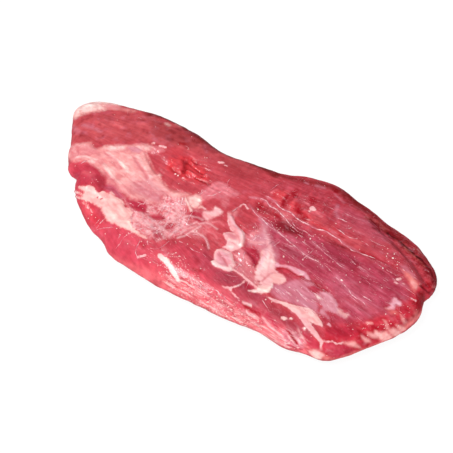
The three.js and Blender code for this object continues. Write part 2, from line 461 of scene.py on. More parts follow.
# %% Sheets of fat: name, tint, softness of the edge, thickness mm, roughness mm, unrolled outline
FAT_SHEETS = marks("""
tip_rim fat_cream 0.9 0.9 0.9 -342,48 -343,58 -339,71 -322,84 -296,96 -283,97 -269,91 -267,80 -281,72
 -286,62 -300,50 -310,38 -317,33 -336,37
wide_sheet fat_pink 0.7 0.8 0.9 -296,-25 -292,-16 -269,-12 -254,-3 -241,-11 -235,-10 -229,-4 -229,1 -207,15
 -195,20 -182,31 -170,38 -161,37 -158,30 -162,24 -152,15 -133,2 -123,-3 -114,-1 -115,-6 -93,-14 -84,-16
 -79,-15 -66,-9 -54,-5 -55,-13 -73,-26 -84,-26 -89,-35 -81,-46 -93,-54 -107,-54 -113,-60 -124,-64 -138,-61
 -148,-61 -154,-58 -164,-58 -173,-60 -180,-52 -188,-50 -196,-45 -204,-42 -214,-40 -224,-39 -237,-39 -249,-46
 -265,-44 -288,-37
fingered_band fat_peach 0.1 1.2 0.8 -209,-82 -200,-81 -193,-76 -185,-77 -177,-81 -171,-81 -169,-76 -162,-75
 -155,-76 -157,-69 -150,-70 -144,-74 -137,-74 -132,-73 -127,-75 -121,-81 -102,-84 -98,-97 -93,-94 -85,-87
 -82,-90 -87,-96 -93,-100 -83,-108 -64,-110 -55,-110 -49,-112 -64,-116 -72,-115 -94,-116 -99,-119 -104,-117
 -110,-116 -116,-118 -120,-117 -125,-118 -131,-116 -134,-113 -139,-111 -149,-104 -156,-104 -174,-102
 -196,-102 -197,-98 -190,-96 -198,-93 -194,-90 -205,-87
front_strip fat_cream 0.1 0.45 0.4 -24,-125 -19,-122 -15,-123 -4,-123 1,-127 12,-131 17,-135 28,-141 36,-143
 30,-145 24,-145 -7,-132 -19,-130
lump fat_peach 0.6 1.3 0.5 -56,-14 -54,-8 -49,-5 -47,0 -43,1 -37,-1 -31,-5 -31,-11 -29,-16 -31,-22 -37,-24
 -42,-22
bat fat_blush 0.5 1.0 0.5 -16,-26 -18,-21 -15,-18 -10,-15 -7,-11 -9,-3 1,-3 7,-5 8,-10 1,-25 -2,-29 -1,-32
 -7,-31 -12,-29
roof fat_rose 1.0 0.4 0.4 18,0 21,9 24,9 27,1 25,-5
knotted_band fat_blush 0.1 2.6 0.4 24,-3 30,-9 38,-15 53,-18 59,-21 64,-27 70,-40 69,-46 62,-58 44,-59
 47,-54 46,-48 33,-41 31,-37 40,-28 28,-21 22,-14 16,-4
folded_piece fat_blush 0.1 2.4 0.4 46,-61 41,-67 41,-73 45,-80 50,-86 48,-92 54,-96 61,-97 68,-95 76,-95
 81,-92 83,-88 81,-75 73,-69 66,-62 60,-59
column_veil fat_mauve 1.0 0.55 1.1 66,13 70,14 79,5 96,-8 113,-19 121,-27 124,-36 114,-34 96,-36 88,-30
 81,-29 76,-36 71,-34 72,-27 66,-25 71,-23 75,-16 76,-7 74,1
column fat_blush 0.2 0.7 0.7 94,-32 99,-27 107,-26 115,-28 128,-40 132,-49 139,-51 149,-51 157,-56 156,-63
 152,-69 144,-71 147,-78 149,-86 148,-91 142,-97 135,-99 129,-103 122,-105 131,-95 129,-89 123,-88 117,-81
 107,-61 105,-49 100,-39
lens_rim fat_lilac 0.3 0.7 0.3 125,-42 127,-37 133,-38 139,-34 153,-30 170,-28 176,-30 182,-34 186,-35
 179,-38 173,-36 170,-36 165,-39 146,-37 135,-41 131,-46
long_strip fat_blush 0.1 0.9 0.35 149,-97 184,-87 200,-81 208,-77 215,-76 223,-77 229,-81 234,-83 239,-87
 241,-90 234,-92 220,-94 225,-95 232,-99 241,-102 248,-106 255,-107 256,-114 259,-118 257,-120 251,-112
 227,-106 218,-103 211,-99 200,-96 184,-95 173,-96 161,-99
ragged_membrane fat_mauve 0.15 0.8 1.3 203,-53 208,-40 220,-37 237,-44 241,-49 246,-51 250,-52 254,-51
 258,-47 260,-50 260,-55 258,-59 252,-61 247,-60 235,-63 231,-67 241,-73 234,-74 222,-74 224,-66 216,-59
 209,-59
corner_patch fat_cream 0.8 0.5 0.8 248,-130 251,-125 256,-123 262,-122 266,-124 267,-132 263,-136 254,-133
end_flower fat_lilac 0.4 0.5 0.5 295,4 293,10 294,14 297,15 301,14 306,14 309,10 307,6 302,6 302,2 305,-2
 302,-5 296,-7 297,-1 294,1
end_patch end_orange 0.5 0.6 0.7 277,65 290,65 309,59 312,53 311,42 306,43 293,55 285,58
glint_patch fat_cream 0.1 0.5 0.3 185,-113 187,-109 193,-108 195,-109 192,-114 187,-115
small_patch fat_lilac 0.1 0.4 0.3 243,-83 243,-78 250,-81 249,-83
""")

# %% Strands of fat: thickness mm, half width mm, path
FAT_STRANDS = marks("""
1.2 1.14 -213,-84 -182,-90
1.2 1.14 -223,-93 -203,-94 -186,-97
1.0 0.99 -215,-101 -178,-101
0.5 0.76 -188,-107 -173,-108
0.5 0.68 -175,-111 -165,-112 -156,-115
0.9 0.99 -48,-144 -38,-136
0.9 0.91 -54,-17 -33,-30
0.6 0.68 -27,-19 -27,-16 -23,-15 -18,-16
0.7 0.76 16,-2 19,4 23,25 27,25 34,21
0.7 1.37 17,-1 19,-1
0.7 0.99 82,-84 96,-85 133,-93
0.6 0.68 88,-118 94,-118 100,-116
0.7 1.14 95,-116 101,-115
0.5 0.68 99,-115 104,-109 108,-102 109,-96 108,-93
0.5 0.61 101,-117 114,-121 122,-122
0.6 2.05 112,77 115,76
0.3 0.68 112,69 113,69
0.5 1.14 -58,74 -53,77
0.3 0.76 -47,74 -44,75
0.5 0.91 198,-106 199,-106
0.4 1.14 221,-108 223,-108
0.4 0.91 129,-123 133,-121
0.5 0.68 253,-107 258,-105 263,-100 270,-99 278,-89
0.4 1.14 281,44 284,48
0.3 0.76 281,37 285,38
0.3 0.61 290,43 293,44
0.5 1.14 -165,45 -164,46
0.5 1.06 -152,46 -143,49
0.5 0.76 315,29 321,31
""")

# %% Openings in the fat: half width mm, path
FAT_GAPS = marks("""
0.68 -159,-90 -158,-89
0.46 -166,-90 -165,-91
0.61 24,-33 42,-28
0.53 -216,-88 -207,-89 -194,-92
0.46 -208,-97 -194,-95
0.53 122,-84 126,-81
0.38 125,-88 132,-84
0.76 -92,-96 -85,-90
""")

# %% Fat over the skin
NO_FAT = -6.0
FAT_RISE = 0.5
STRAND_ROUGH = 0.3
MARK_REACH = 6  # how far outside its border a mark still counts, mm
HOLE_REACH = 4
fat = np.full(POINTS, NO_FAT)
fat_thick = np.zeros(POINTS)
fat_soft = np.zeros(POINTS)
fat_sheet = np.full(POINTS, "fat_blush", dtype="<U12")
for _, tint, soft, thick, rough, outline in FAT_SHEETS:
    near, distance = measured(None, outline, MARK_REACH, rough)
    fat_sheet[near[distance > fat[near] * 0.6]] = tint
    raise_to(fat, near, distance / (0.5 + rough))
    raise_to(fat_soft, near, soft * smooth(distance, -5, -1))
    raise_to(fat_thick, near, FAT_RISE * thick * smooth(distance, -1.0, 2.4))
for thick, half_wide, path in FAT_STRANDS:
    near, distance = measured(half_wide, path, MARK_REACH, STRAND_ROUGH)
    raise_to(fat, near, distance)
    raise_to(fat_thick, near, thick * smooth(distance, -0.5, 1.0))
for half_wide, path in FAT_GAPS:
    near, distance = measured(half_wide, path, HOLE_REACH, -STRAND_ROUGH)
    fat[near] = np.minimum(fat[near], -distance)
    fat_thick[near] *= smooth(-distance, -0.2, 1.2)
print("points in fat:", int((fat > 0).sum()))

# %% [markdown]
# ## Silverskin and films
# Silverskin is the thin shiny membrane round a muscle. Where it was not trimmed it veils the flesh
# in mauve, and between the fat sheets it is torn into lace. A film has a strength instead of a
# thickness, and some films have holes where bare flesh shows.

# %% Films: name, strength, roughness mm, how torn, outline
FILMS = marks("""
silverskin 0.85 0.5 0.0 144,-75 158,-62 161,-54 167,-47 183,-40 187,-36 205,-43 203,-53 209,-59 217,-65
 220,-75 215,-75 191,-83 162,-91 152,-87
lace 0.85 2.4 1.0 -133,-67 -113,-60 -107,-54 -93,-54 -81,-46 -84,-27 -58,-15 -46,-25 -38,-37 -17,-55 -15,-65
 -22,-82 -35,-104 -48,-107 -55,-107 -68,-110 -83,-108 -92,-101 -100,-91 -115,-82
lace_tail 0.32 1.4 0.7 -44,-35 -38,-22 -28,-16 -11,-18 5,-28 11,-46 12,-62 1,-69 -12,-71 -30,-57
arc 0.5 1.0 0.3 -46,0 -39,33 -34,41 -26,42 -16,42 -5,40 7,39 6,30 -3,22 -8,13 -19,10 -28,5 -31,-4
veil 0.55 1.0 0.4 -10,13 -7,19 0,21 5,13 6,3 -1,3
lilac_strip 0.8 0.5 0.0 67,-50 71,-46 79,-49 89,-56 108,-67 88,-62 70,-55
lilac_wet 0.55 1.2 0.4 61,-57 69,-47 86,-51 105,-64 116,-77 133,-93 117,-91 97,-87 81,-82 80,-73
crease_film 0.6 0.9 0.6 -92,-101 -81,-98 -66,-98 -49,-106 -49,-112 -83,-108
upper_film 0.6 0.8 0.5 -165,35 -157,42 -145,45 -139,42 -145,32 -153,25
end_film 0.55 0.8 0.0 270,71 277,75 290,71 301,64 296,58 285,60 277,62
thread_film 0.4 1.0 0.6 66,46 86,49 95,46 103,32 94,32
column_film 0.6 1.0 0.5 62,-23 66,-13 68,-3 67,11 73,13 95,-9 120,-32 114,-36 85,-30 73,-31
""")
film_outline = {row[0]: row[-1] for row in FILMS}

# %% Holes in the films: softness mm, outline
FILM_HOLES = marks("""
0.7 186,-49 188,-45 192,-41 198,-40 204,-41 206,-46 205,-51 199,-52 193,-52
2.2 -118,-69 -115,-63 -106,-60 -96,-60 -91,-66 -89,-74 -97,-76 -108,-74
1.4 -133,-65 -127,-57 -116,-55 -103,-56 -92,-62 -87,-71 -94,-77 -109,-78 -123,-74
2.2 -80,-76 -77,-68 -68,-62 -58,-61 -55,-66 -61,-73 -71,-78
0.8 -36,-27 -24,-29 -19,-21 -11,-29 -2,-30 -9,-41 -24,-39
1.6 -54,-76 -50,-68 -40,-64 -36,-74 -42,-83
1.6 -46,-27 -37,-24 -25,-29 -31,-37 -41,-35
1.4 -52,-101 -47,-94 -37,-97 -42,-105
""")

# %% Films over the skin
FILM_ROUGH = 1.6
HOLE_ROUGH = 0.8
HOLE_CLEARS = 0.92
film = np.zeros(POINTS)
torn = np.zeros(POINTS)
for _, strength, rough, how_torn, outline in FILMS:
    near, distance = measured(None, outline, MARK_REACH, FILM_ROUGH * rough)
    raise_to(film, near, strength * smooth(distance, -2.0, 2.2))
    raise_to(torn, near, how_torn * smooth(distance, -3.0, 0.5))
for soft, outline in FILM_HOLES:
    near, distance = measured(None, outline, HOLE_REACH, HOLE_ROUGH)
    film[near] *= 1 - HOLE_CLEARS * smooth(distance, -soft, soft)

swirled = place + 2.6 * np.stack([noise(place / 7, seed) for seed in (91, 92, 93)], 1)


def strings(size, seed):
    """Thin winding lines where the noise passes through zero, as a membrane tears into strings."""
    return np.clip(1 - 4.2 * np.abs(noise(swirled / size, seed)), 0, 1)


web = np.maximum(strings(4.8, 94), 0.8 * strings(2.7, 95))
print("points under film:", int((film > 0.2).sum()))

# %% [markdown]
# ## Tints of the flesh
# Fresh beef is not one red. The side wall is salmon, the broad end mauve where it dried under its
# membrane, the tip and the far edge browned by air, and torn places wet and crimson. The far edge is
# also darkened with painted shade. The tints are written as a buyer would see them under the soft
# light, and turned into the paint's own colour by taking out the brightness of that light. They are
# laid over each other like thin washes. A few of them paint light: highlights on lobes, ridges and
# folds of fat, glints on the wet roll, shade in creases and the flap's crack, and light on the shaded
# broad end.

# %% Palette
LIGHT_GAIN = 1.29
MIRROR_HAZE = 0.014  # what the wet skin's even reflection of the room adds to every colour
DARKEST_PAINT, DARKEST_FLESH, PALEST = 0.0015, 0.0012, 0.95
# Red, green and blue as seen, out of 255. A few go a little beyond that: the lace's rose, and the painted
# light and brightened marbling on the shaded broad end.
PALETTE = {
    "soft_red": (204, 76, 86), "tip_pink": (226, 82, 98), "meat_pink": (218, 76, 94),
    "salmon": (248, 116, 124), "brown": (204, 84, 90), "far_brown": (128, 40, 40),
    "broad_mauve": (186, 70, 90), "mauve_dark": (164, 56, 74), "mauve_patch": (206, 96, 116),
    "coral": (210, 86, 94), "far_red": (192, 72, 84), "hollow": (176, 68, 84), "deep": (184, 48, 68),
    "shade": (180, 56, 70), "lobe_red": (222, 66, 80), "end_red": (214, 54, 70),
    "crimson": (172, 20, 42), "magenta": (204, 54, 80), "blood": (228, 66, 74),
    "end_orange": (240, 134, 130), "flap": (172, 62, 68), "maroon": (128, 30, 40),
    "crack": (78, 16, 20), "flap_tan": (166, 82, 76),
    "pool": (174, 0, 46), "rim_glow": (276, 150, 150), "bright_marble": (276, 198, 194),
    "pale_spot": (236, 170, 165), "tip_blush": (238, 152, 148), "tip_lilac": (212, 116, 134),
    "fat_pink": (246, 172, 170), "fat_peach": (253, 192, 187), "fat_cream": (254, 204, 198),
    "fat_white": (255, 226, 221), "fat_rose": (228, 136, 142), "fat_blush": (247, 184, 186),
    "fat_lilac": (238, 170, 183), "fat_mauve": (214, 136, 150), "film_mauve": (228, 146, 164),
    "film_rose": (258, 142, 152), "film_pale": (251, 190, 193), "thread_lilac": (250, 202, 208),
    "under_red": (198, 76, 86), "under_pink": (222, 104, 112),
}


def paint(name):
    """The paint that looks like this tint under the scene's own light and haze."""
    seen = np.array(PALETTE[name]) / 255
    light = np.where(seen <= 0.04045, seen / 12.92, ((seen + 0.055) / 1.055) ** 2.4)
    return np.clip((light - MIRROR_HAZE) / LIGHT_GAIN, DARKEST_PAINT, PALEST)


def solid(name):
    """The same paint for a shader socket, with its alpha."""
    return (*paint(name), 1)


# %% Washes on the flesh: tint, strength, softness mm, half width mm, corners
# Some washes paint shade. The dark brown strokes along the far edge are brown crust darkened further by
# painted shade, and the maroon stroke along the flap's crack is painted shade in it. The small deep patch at
# the knotted band's right edge is a painted shadow in the furrow there.
STAINS = marks("""
tip_pink 0.9 9 - -279,-71 -254,-43 -197,-47 -66,-113 -27,-120 25,-111 101,-117 175,-124 238,-141 242,-177
 116,-191 -16,-187 -133,-168 -224,-129
brown 0.95 7 - -341,34 -333,46 -284,57 -242,95 -17,114 -10,89 -63,70 -170,44 -251,-3 -305,-15
soft_red 0.9 9 - -162,34 -106,63 -37,74 73,102 81,64 51,33 14,16 -22,15 -59,1 -105,-2 -144,16
broad_mauve 0.95 8 - 66,13 91,37 194,40 240,49 285,51 314,30 301,-3 263,-67 235,-76 252,-50 217,-36 164,-32
 124,-38 94,-21
coral 0.55 5 - 143,57 151,72 215,81 234,73 213,51 159,41
far_red 0.8 7 - 16,65 63,118 109,132 148,132 246,112 286,97 317,70 302,56 263,70 164,59 109,62 62,52
broad_mauve 0.6 6 - 109,-49 164,-32 204,-41 222,-74 183,-86 145,-86
salmon 0.95 5 6.46 -81,-175 43,-154 162,-146 241,-132
salmon 0.75 5 4.56 -174,-151 -120,-169 -75,-178
hollow 0.95 5 - 29,-77 63,-97 86,-91 109,-92 153,-102 144,-108 105,-108 86,-116 64,-114 26,-96
hollow 0.6 5 4.56 119,-117 154,-113 220,-115
deep 0.65 4 - -251,-62 -224,-39 -204,-42 -174,-59 -171,-76 -193,-73 -216,-83
shade 0.6 3 - -210,-44 -181,-53 -170,-72 -175,-78 -185,-69 -189,-57
lobe_red 0.75 3.5 - -204,-105 -151,-107 -129,-121 -145,-135 -171,-135 -196,-121
shade 0.55 3 - -159,-105 -147,-105 -127,-118 -134,-123
meat_pink 0.9 6 - -122,-135 -112,-123 -53,-115 -24,-138 -40,-151 -73,-157 -104,-153
meat_pink 0.7 6 - -36,-113 -9,-90 22,-83 70,-108 70,-123 -22,-121
mauve_patch 0.85 2.5 - -172,-68 -169,-61 -163,-57 -154,-58 -133,-67 -134,-73 -154,-72
end_red 0.9 5 - 250,-85 279,-53 306,-1 314,19 313,71 327,77 344,75 340,14 343,-31 321,-82 297,-118 265,-126
 247,-110
crimson 0.95 1.8 - 315,44 319,55 327,59 335,51 335,29 330,20
end_orange 0.7 3 1.9 272,-125 294,-119 321,-70 334,-39 336,21
flap 0.95 3 - 209,140 238,127 261,123 286,128 309,120 333,106 343,88 331,72 284,97 215,115
maroon 0.75 1.6 1.06 191,115 204,119 273,107 294,101 321,89
far_brown 0.95 3.5 3.42 -214,99 -184,112 -104,99 -34,111 25,106
far_brown 0.75 3 2.66 26,104 130,143 168,130 256,118
maroon 0.8 3 1.52 130,143 178,124 195,123
coral 0.5 3 2.28 -242,47 -231,48
coral 0.4 3 2.28 -276,37 -265,37
coral 0.4 3 1.9 -203,75 -193,72
tip_blush 0.6 3 1.9 -276,81 -242,90
pale_spot 0.7 1.5 1.52 -176,93 -171,92
blood 0.3 2.5 - -143,42 -139,55 -126,63 -115,59 -121,46 -133,36
crimson 0.8 1.6 1.14 -130,69 -124,71
blood 0.9 3 - -124,30 -108,55 -96,55 -63,47 -51,38 -49,25 -100,9 -115,16
crimson 0.9 1.5 - -109,51 -103,54 -96,47 -87,31 -87,23 -93,26 -99,39
blood 0.9 1.2 0.91 -96,47 -86,43 -64,40
crimson 0.8 1.0 0.68 -96,55 -85,53
crimson 0.8 1.2 0.91 -66,25 -42,28
crimson 0.8 1 0.91 -60,33 -59,34
coral 0.8 1.5 1.67 -58,40 -54,40
coral 0.6 1.0 0.76 -53,55 -41,42
coral 0.6 1.5 1.14 -81,30 -70,31
coral 0.5 1.5 1.14 -112,30 -108,40
deep 0.95 1.2 - 73,-40 80,-39 86,-34 93,-34 100,-39 104,-47 104,-55 107,-63 90,-55 80,-48
deep 0.8 1.0 - 65,-30 70,-29 75,-32 76,-37 71,-41
deep 0.9 1.5 - 109,-94 132,-95 118,-102
crimson 0.35 1.2 - 132,-51 137,-44 147,-39 169,-40 179,-37 176,-42 155,-50 136,-53
crimson 0.95 0.8 0.76 133,-48 139,-41 148,-36 160,-37 169,-39 175,-37 180,-37
pool 0.85 0.8 0.61 186,-35 194,-36 202,-39 213,-36
deep 0.85 0.9 - 186,-49 188,-45 192,-41 198,-40 204,-41 206,-46 205,-51 199,-52 193,-52
deep 0.7 2.2 - -118,-69 -115,-63 -96,-60 -91,-66 -89,-74 -97,-76
shade 0.7 1.2 - -106,-60 -99,-59 -91,-66 -90,-74 -98,-69
deep 0.6 2.4 - -80,-76 -77,-68 -68,-62 -58,-61 -55,-66 -61,-73 -71,-78
deep 0.7 1.4 - -36,-27 -24,-29 -19,-21 -11,-29 -2,-30 -9,-41 -24,-39
blood 0.8 0.8 0.68 130,-126 157,-125
crimson 0.8 0.9 0.68 214,-127 223,-130
crimson 0.7 1.3 1.52 38,-117 45,-116
crimson 0.6 1.3 1.52 -56,-125 -49,-125
maroon 0.6 1.5 0.68 177,42 192,44
pool 0.7 1.2 0.68 200,49 225,56 275,62 282,64
maroon 0.8 1.0 0.91 313,58 319,62
maroon 0.8 1.0 0.91 318,74 324,75
maroon 0.7 0.8 0.61 316,62 334,72
magenta 0.85 1.5 - 257,-111 259,-106 264,-101 280,-100 279,-117 272,-118 262,-115
coral 0.75 3 - 50,72 59,86 104,73 157,68 156,58 130,50 68,56 54,60
shade 0.7 3 - 76,24 87,39 133,27 124,16 105,12 89,13
maroon 0.45 3 - 81,27 89,36 115,29 115,19 96,18
shade 0.6 2 1.14 147,72 147,83
mauve_dark 0.5 3 2.28 98,26 126,29
mauve_dark 0.35 4 3.04 158,24 206,21
mauve_dark 0.35 4 3.04 122,-9 183,-14
magenta 0.8 2 - 262,-110 266,-102 281,-92 294,-91 297,-101 287,-112 273,-113
deep 0.7 3 - 247,-93 255,-78 271,-66 283,-64 280,-75 266,-89 257,-95
end_orange 0.6 2.5 1.9 298,-116 318,-78 338,-48 352,-17 353,12 346,41
mauve_patch 0.6 5 - 202,0 268,-4 297,-15 278,-38 247,-42 211,-26
mauve_patch 0.5 4 - 135,105 160,113 194,116 232,113 230,80 158,78
film_mauve 0.45 1.2 0.61 42,58 58,57 71,52 90,53 110,48 131,47 152,51 176,51 190,48 212,50
film_mauve 0.45 1.4 0.76 23,42 39,50 80,43 101,33
film_mauve 0.35 1.6 0.91 32,29 60,18 87,11 186,-6
film_mauve 0.35 1.6 0.91 147,24 212,12
film_mauve 0.5 1.5 1.14 60,16 74,14
film_mauve 0.4 1.8 1.06 211,-8 244,-19 261,-20 272,-24
coral 0.35 4 2.28 175,84 236,80
coral 0.3 4 2.28 242,-34 279,-21
""")

# %% Washes on the fat: its own tints, and painted highlight and shade on its folds
# White strokes along raised folds and on rims and lumps are painted highlights, and rose strokes along
# creases are painted shade. The rest is the fat's own pink, cream and lilac.
FAT_STAINS = marks("""
fat_rose 0.7 3 - -299,-22 -249,-10 -226,-13 -240,-35 -262,-44
fat_rose 0.85 2 2.28 -191,14 -170,21
fat_rose 0.6 3 3.04 -185,-50 -134,-56
fat_rose 0.7 3 3.04 -122,-42 -88,-41
fat_rose 0.6 3 3.04 -165,2 -122,-18
fat_rose 0.5 2.5 1.9 -217,-8 -178,-26
fat_rose 0.5 2.5 1.9 -246,-18 -226,-20 -205,-31
fat_white 0.35 2.2 0.99 -202,-32 -175,-44 -154,-50
fat_white 0.3 2.2 0.99 -182,-16 -158,-25 -146,-25
fat_white 0.4 2.0 0.99 -160,21 -129,4 -109,-4
fat_white 0.3 2.2 1.14 -168,8 -123,-14
fat_white 0.5 1.5 0.99 -213,-8 -165,-20
fat_white 0.7 1.0 0.68 -250,-52 -235,-41 -219,-35
fat_white 0.6 1.0 0.68 -255,-39 -239,-31 -219,-29
fat_mauve 0.8 1.5 - -193,17 -185,22 -172,24 -170,16 -182,13
fat_mauve 0.5 5 - -142,-37 -124,-19 -80,-22 -84,-46 -129,-52
fat_rose 0.6 1.5 0.91 -199,-38 -185,-45 -167,-51
fat_rose 0.6 1.5 0.99 -214,-12 -197,-12 -173,-23
fat_rose 0.5 1.8 1.14 -170,4 -127,-16
fat_white 0.6 2.5 1.98 -214,3 -200,11
fat_white 0.5 2.5 1.98 -173,30 -164,33
fat_cream 0.5 3 2.28 -145,-100 -96,-110
fat_white 0.6 2 1.52 -193,-82 -154,-89
fat_white 0.9 2 2.28 -21,-126 -5,-129 30,-144
fat_white 0.9 1.0 0.91 -36,-7 -34,-8
fat_white 0.7 1.0 0.76 -54,-17 -33,-30
fat_white 0.8 1.5 1.14 47,-44 55,-41
fat_white 0.8 1.3 0.91 60,-40 65,-43
fat_white 0.7 1.3 0.99 51,-55 58,-52
fat_rose 0.5 2 1.37 26,-9 53,-25
fat_rose 0.5 2 1.37 43,-36 53,-34
fat_white 0.9 0.8 0.68 48,-92 54,-95 60,-95
fat_white 0.7 0.8 0.68 68,-79 82,-87
fat_rose 0.4 2 1.52 50,-76 64,-86
fat_white 0.5 3 - 96,-36 103,-24 115,-29 122,-40 119,-64 113,-68
fat_mauve 0.85 3.5 - 60,-25 71,-10 64,17 77,12 98,-18 85,-30 72,-32
fat_peach 0.8 2 - 132,-61 137,-54 150,-53 157,-56 153,-68 142,-72
fat_rose 0.6 0.9 0.68 129,-77 130,-60 135,-54
fat_rose 0.9 0.9 0.68 125,-85 133,-88 140,-88 144,-84
fat_white 0.8 0.9 0.84 143,-73 148,-78 150,-88 144,-94 133,-98 123,-103
fat_lilac 0.7 1.0 0.76 209,-43 222,-43 244,-53
fat_lilac 0.5 1.0 0.61 218,-47 236,-61
fat_cream 0.8 2 - 125,-87 134,-85 143,-78 149,-85 148,-95 126,-104 128,-96
fat_white 0.9 0.9 0.84 168,-36 169,-36
fat_white 0.9 0.9 0.91 224,-94 225,-93
fat_cream 0.7 3 3.04 177,-90 198,-84 232,-86
fat_rose 0.4 1.5 0.76 197,-87 226,-89
fat_white 0.9 1.0 - 202,-52 217,-52 213,-55 208,-55
fat_lilac 0.25 2.5 - 208,-43 221,-39 235,-45 242,-53 240,-60 230,-65 219,-59 215,-50
fat_pink 0.8 2 1.52 302,54 309,51
fat_cream 0.7 2 1.52 246,-54 258,-54
fat_white 0.6 3 - -340,62 -326,79 -310,86 -293,67 -320,42
fat_rose 0.9 3 2.28 -285,78 -255,88
fat_blush 0.75 1.6 1.22 96,-15 112,-29
fat_blush 0.3 1.6 1.06 76,3 96,-15
fat_blush 0.8 1.2 1.14 70,-30 82,-25 90,-19
film_mauve 0.55 1.4 - 45,-72 51,-66 63,-67 73,-76 75,-87 65,-90 54,-86
fat_rose 0.5 0.8 0.61 48,-71 58,-78 70,-81
fat_lilac 0.6 1.2 1.22 23,-6 32,-14 54,-24
fat_rose 0.6 0.8 0.61 43,-25 54,-31 63,-40
fat_mauve 0.6 1.2 1.06 36,-38 44,-35 53,-38
fat_mauve 0.5 2 - 210,-50 219,-43 233,-47 243,-55 234,-62 221,-62
fat_lilac 0.6 1.4 1.22 103,-31 114,-65
fat_rose 0.4 1.0 0.61 112,-31 126,-59
fat_cream 0.6 1.0 0.76 99,-35 106,-55 115,-71
""")
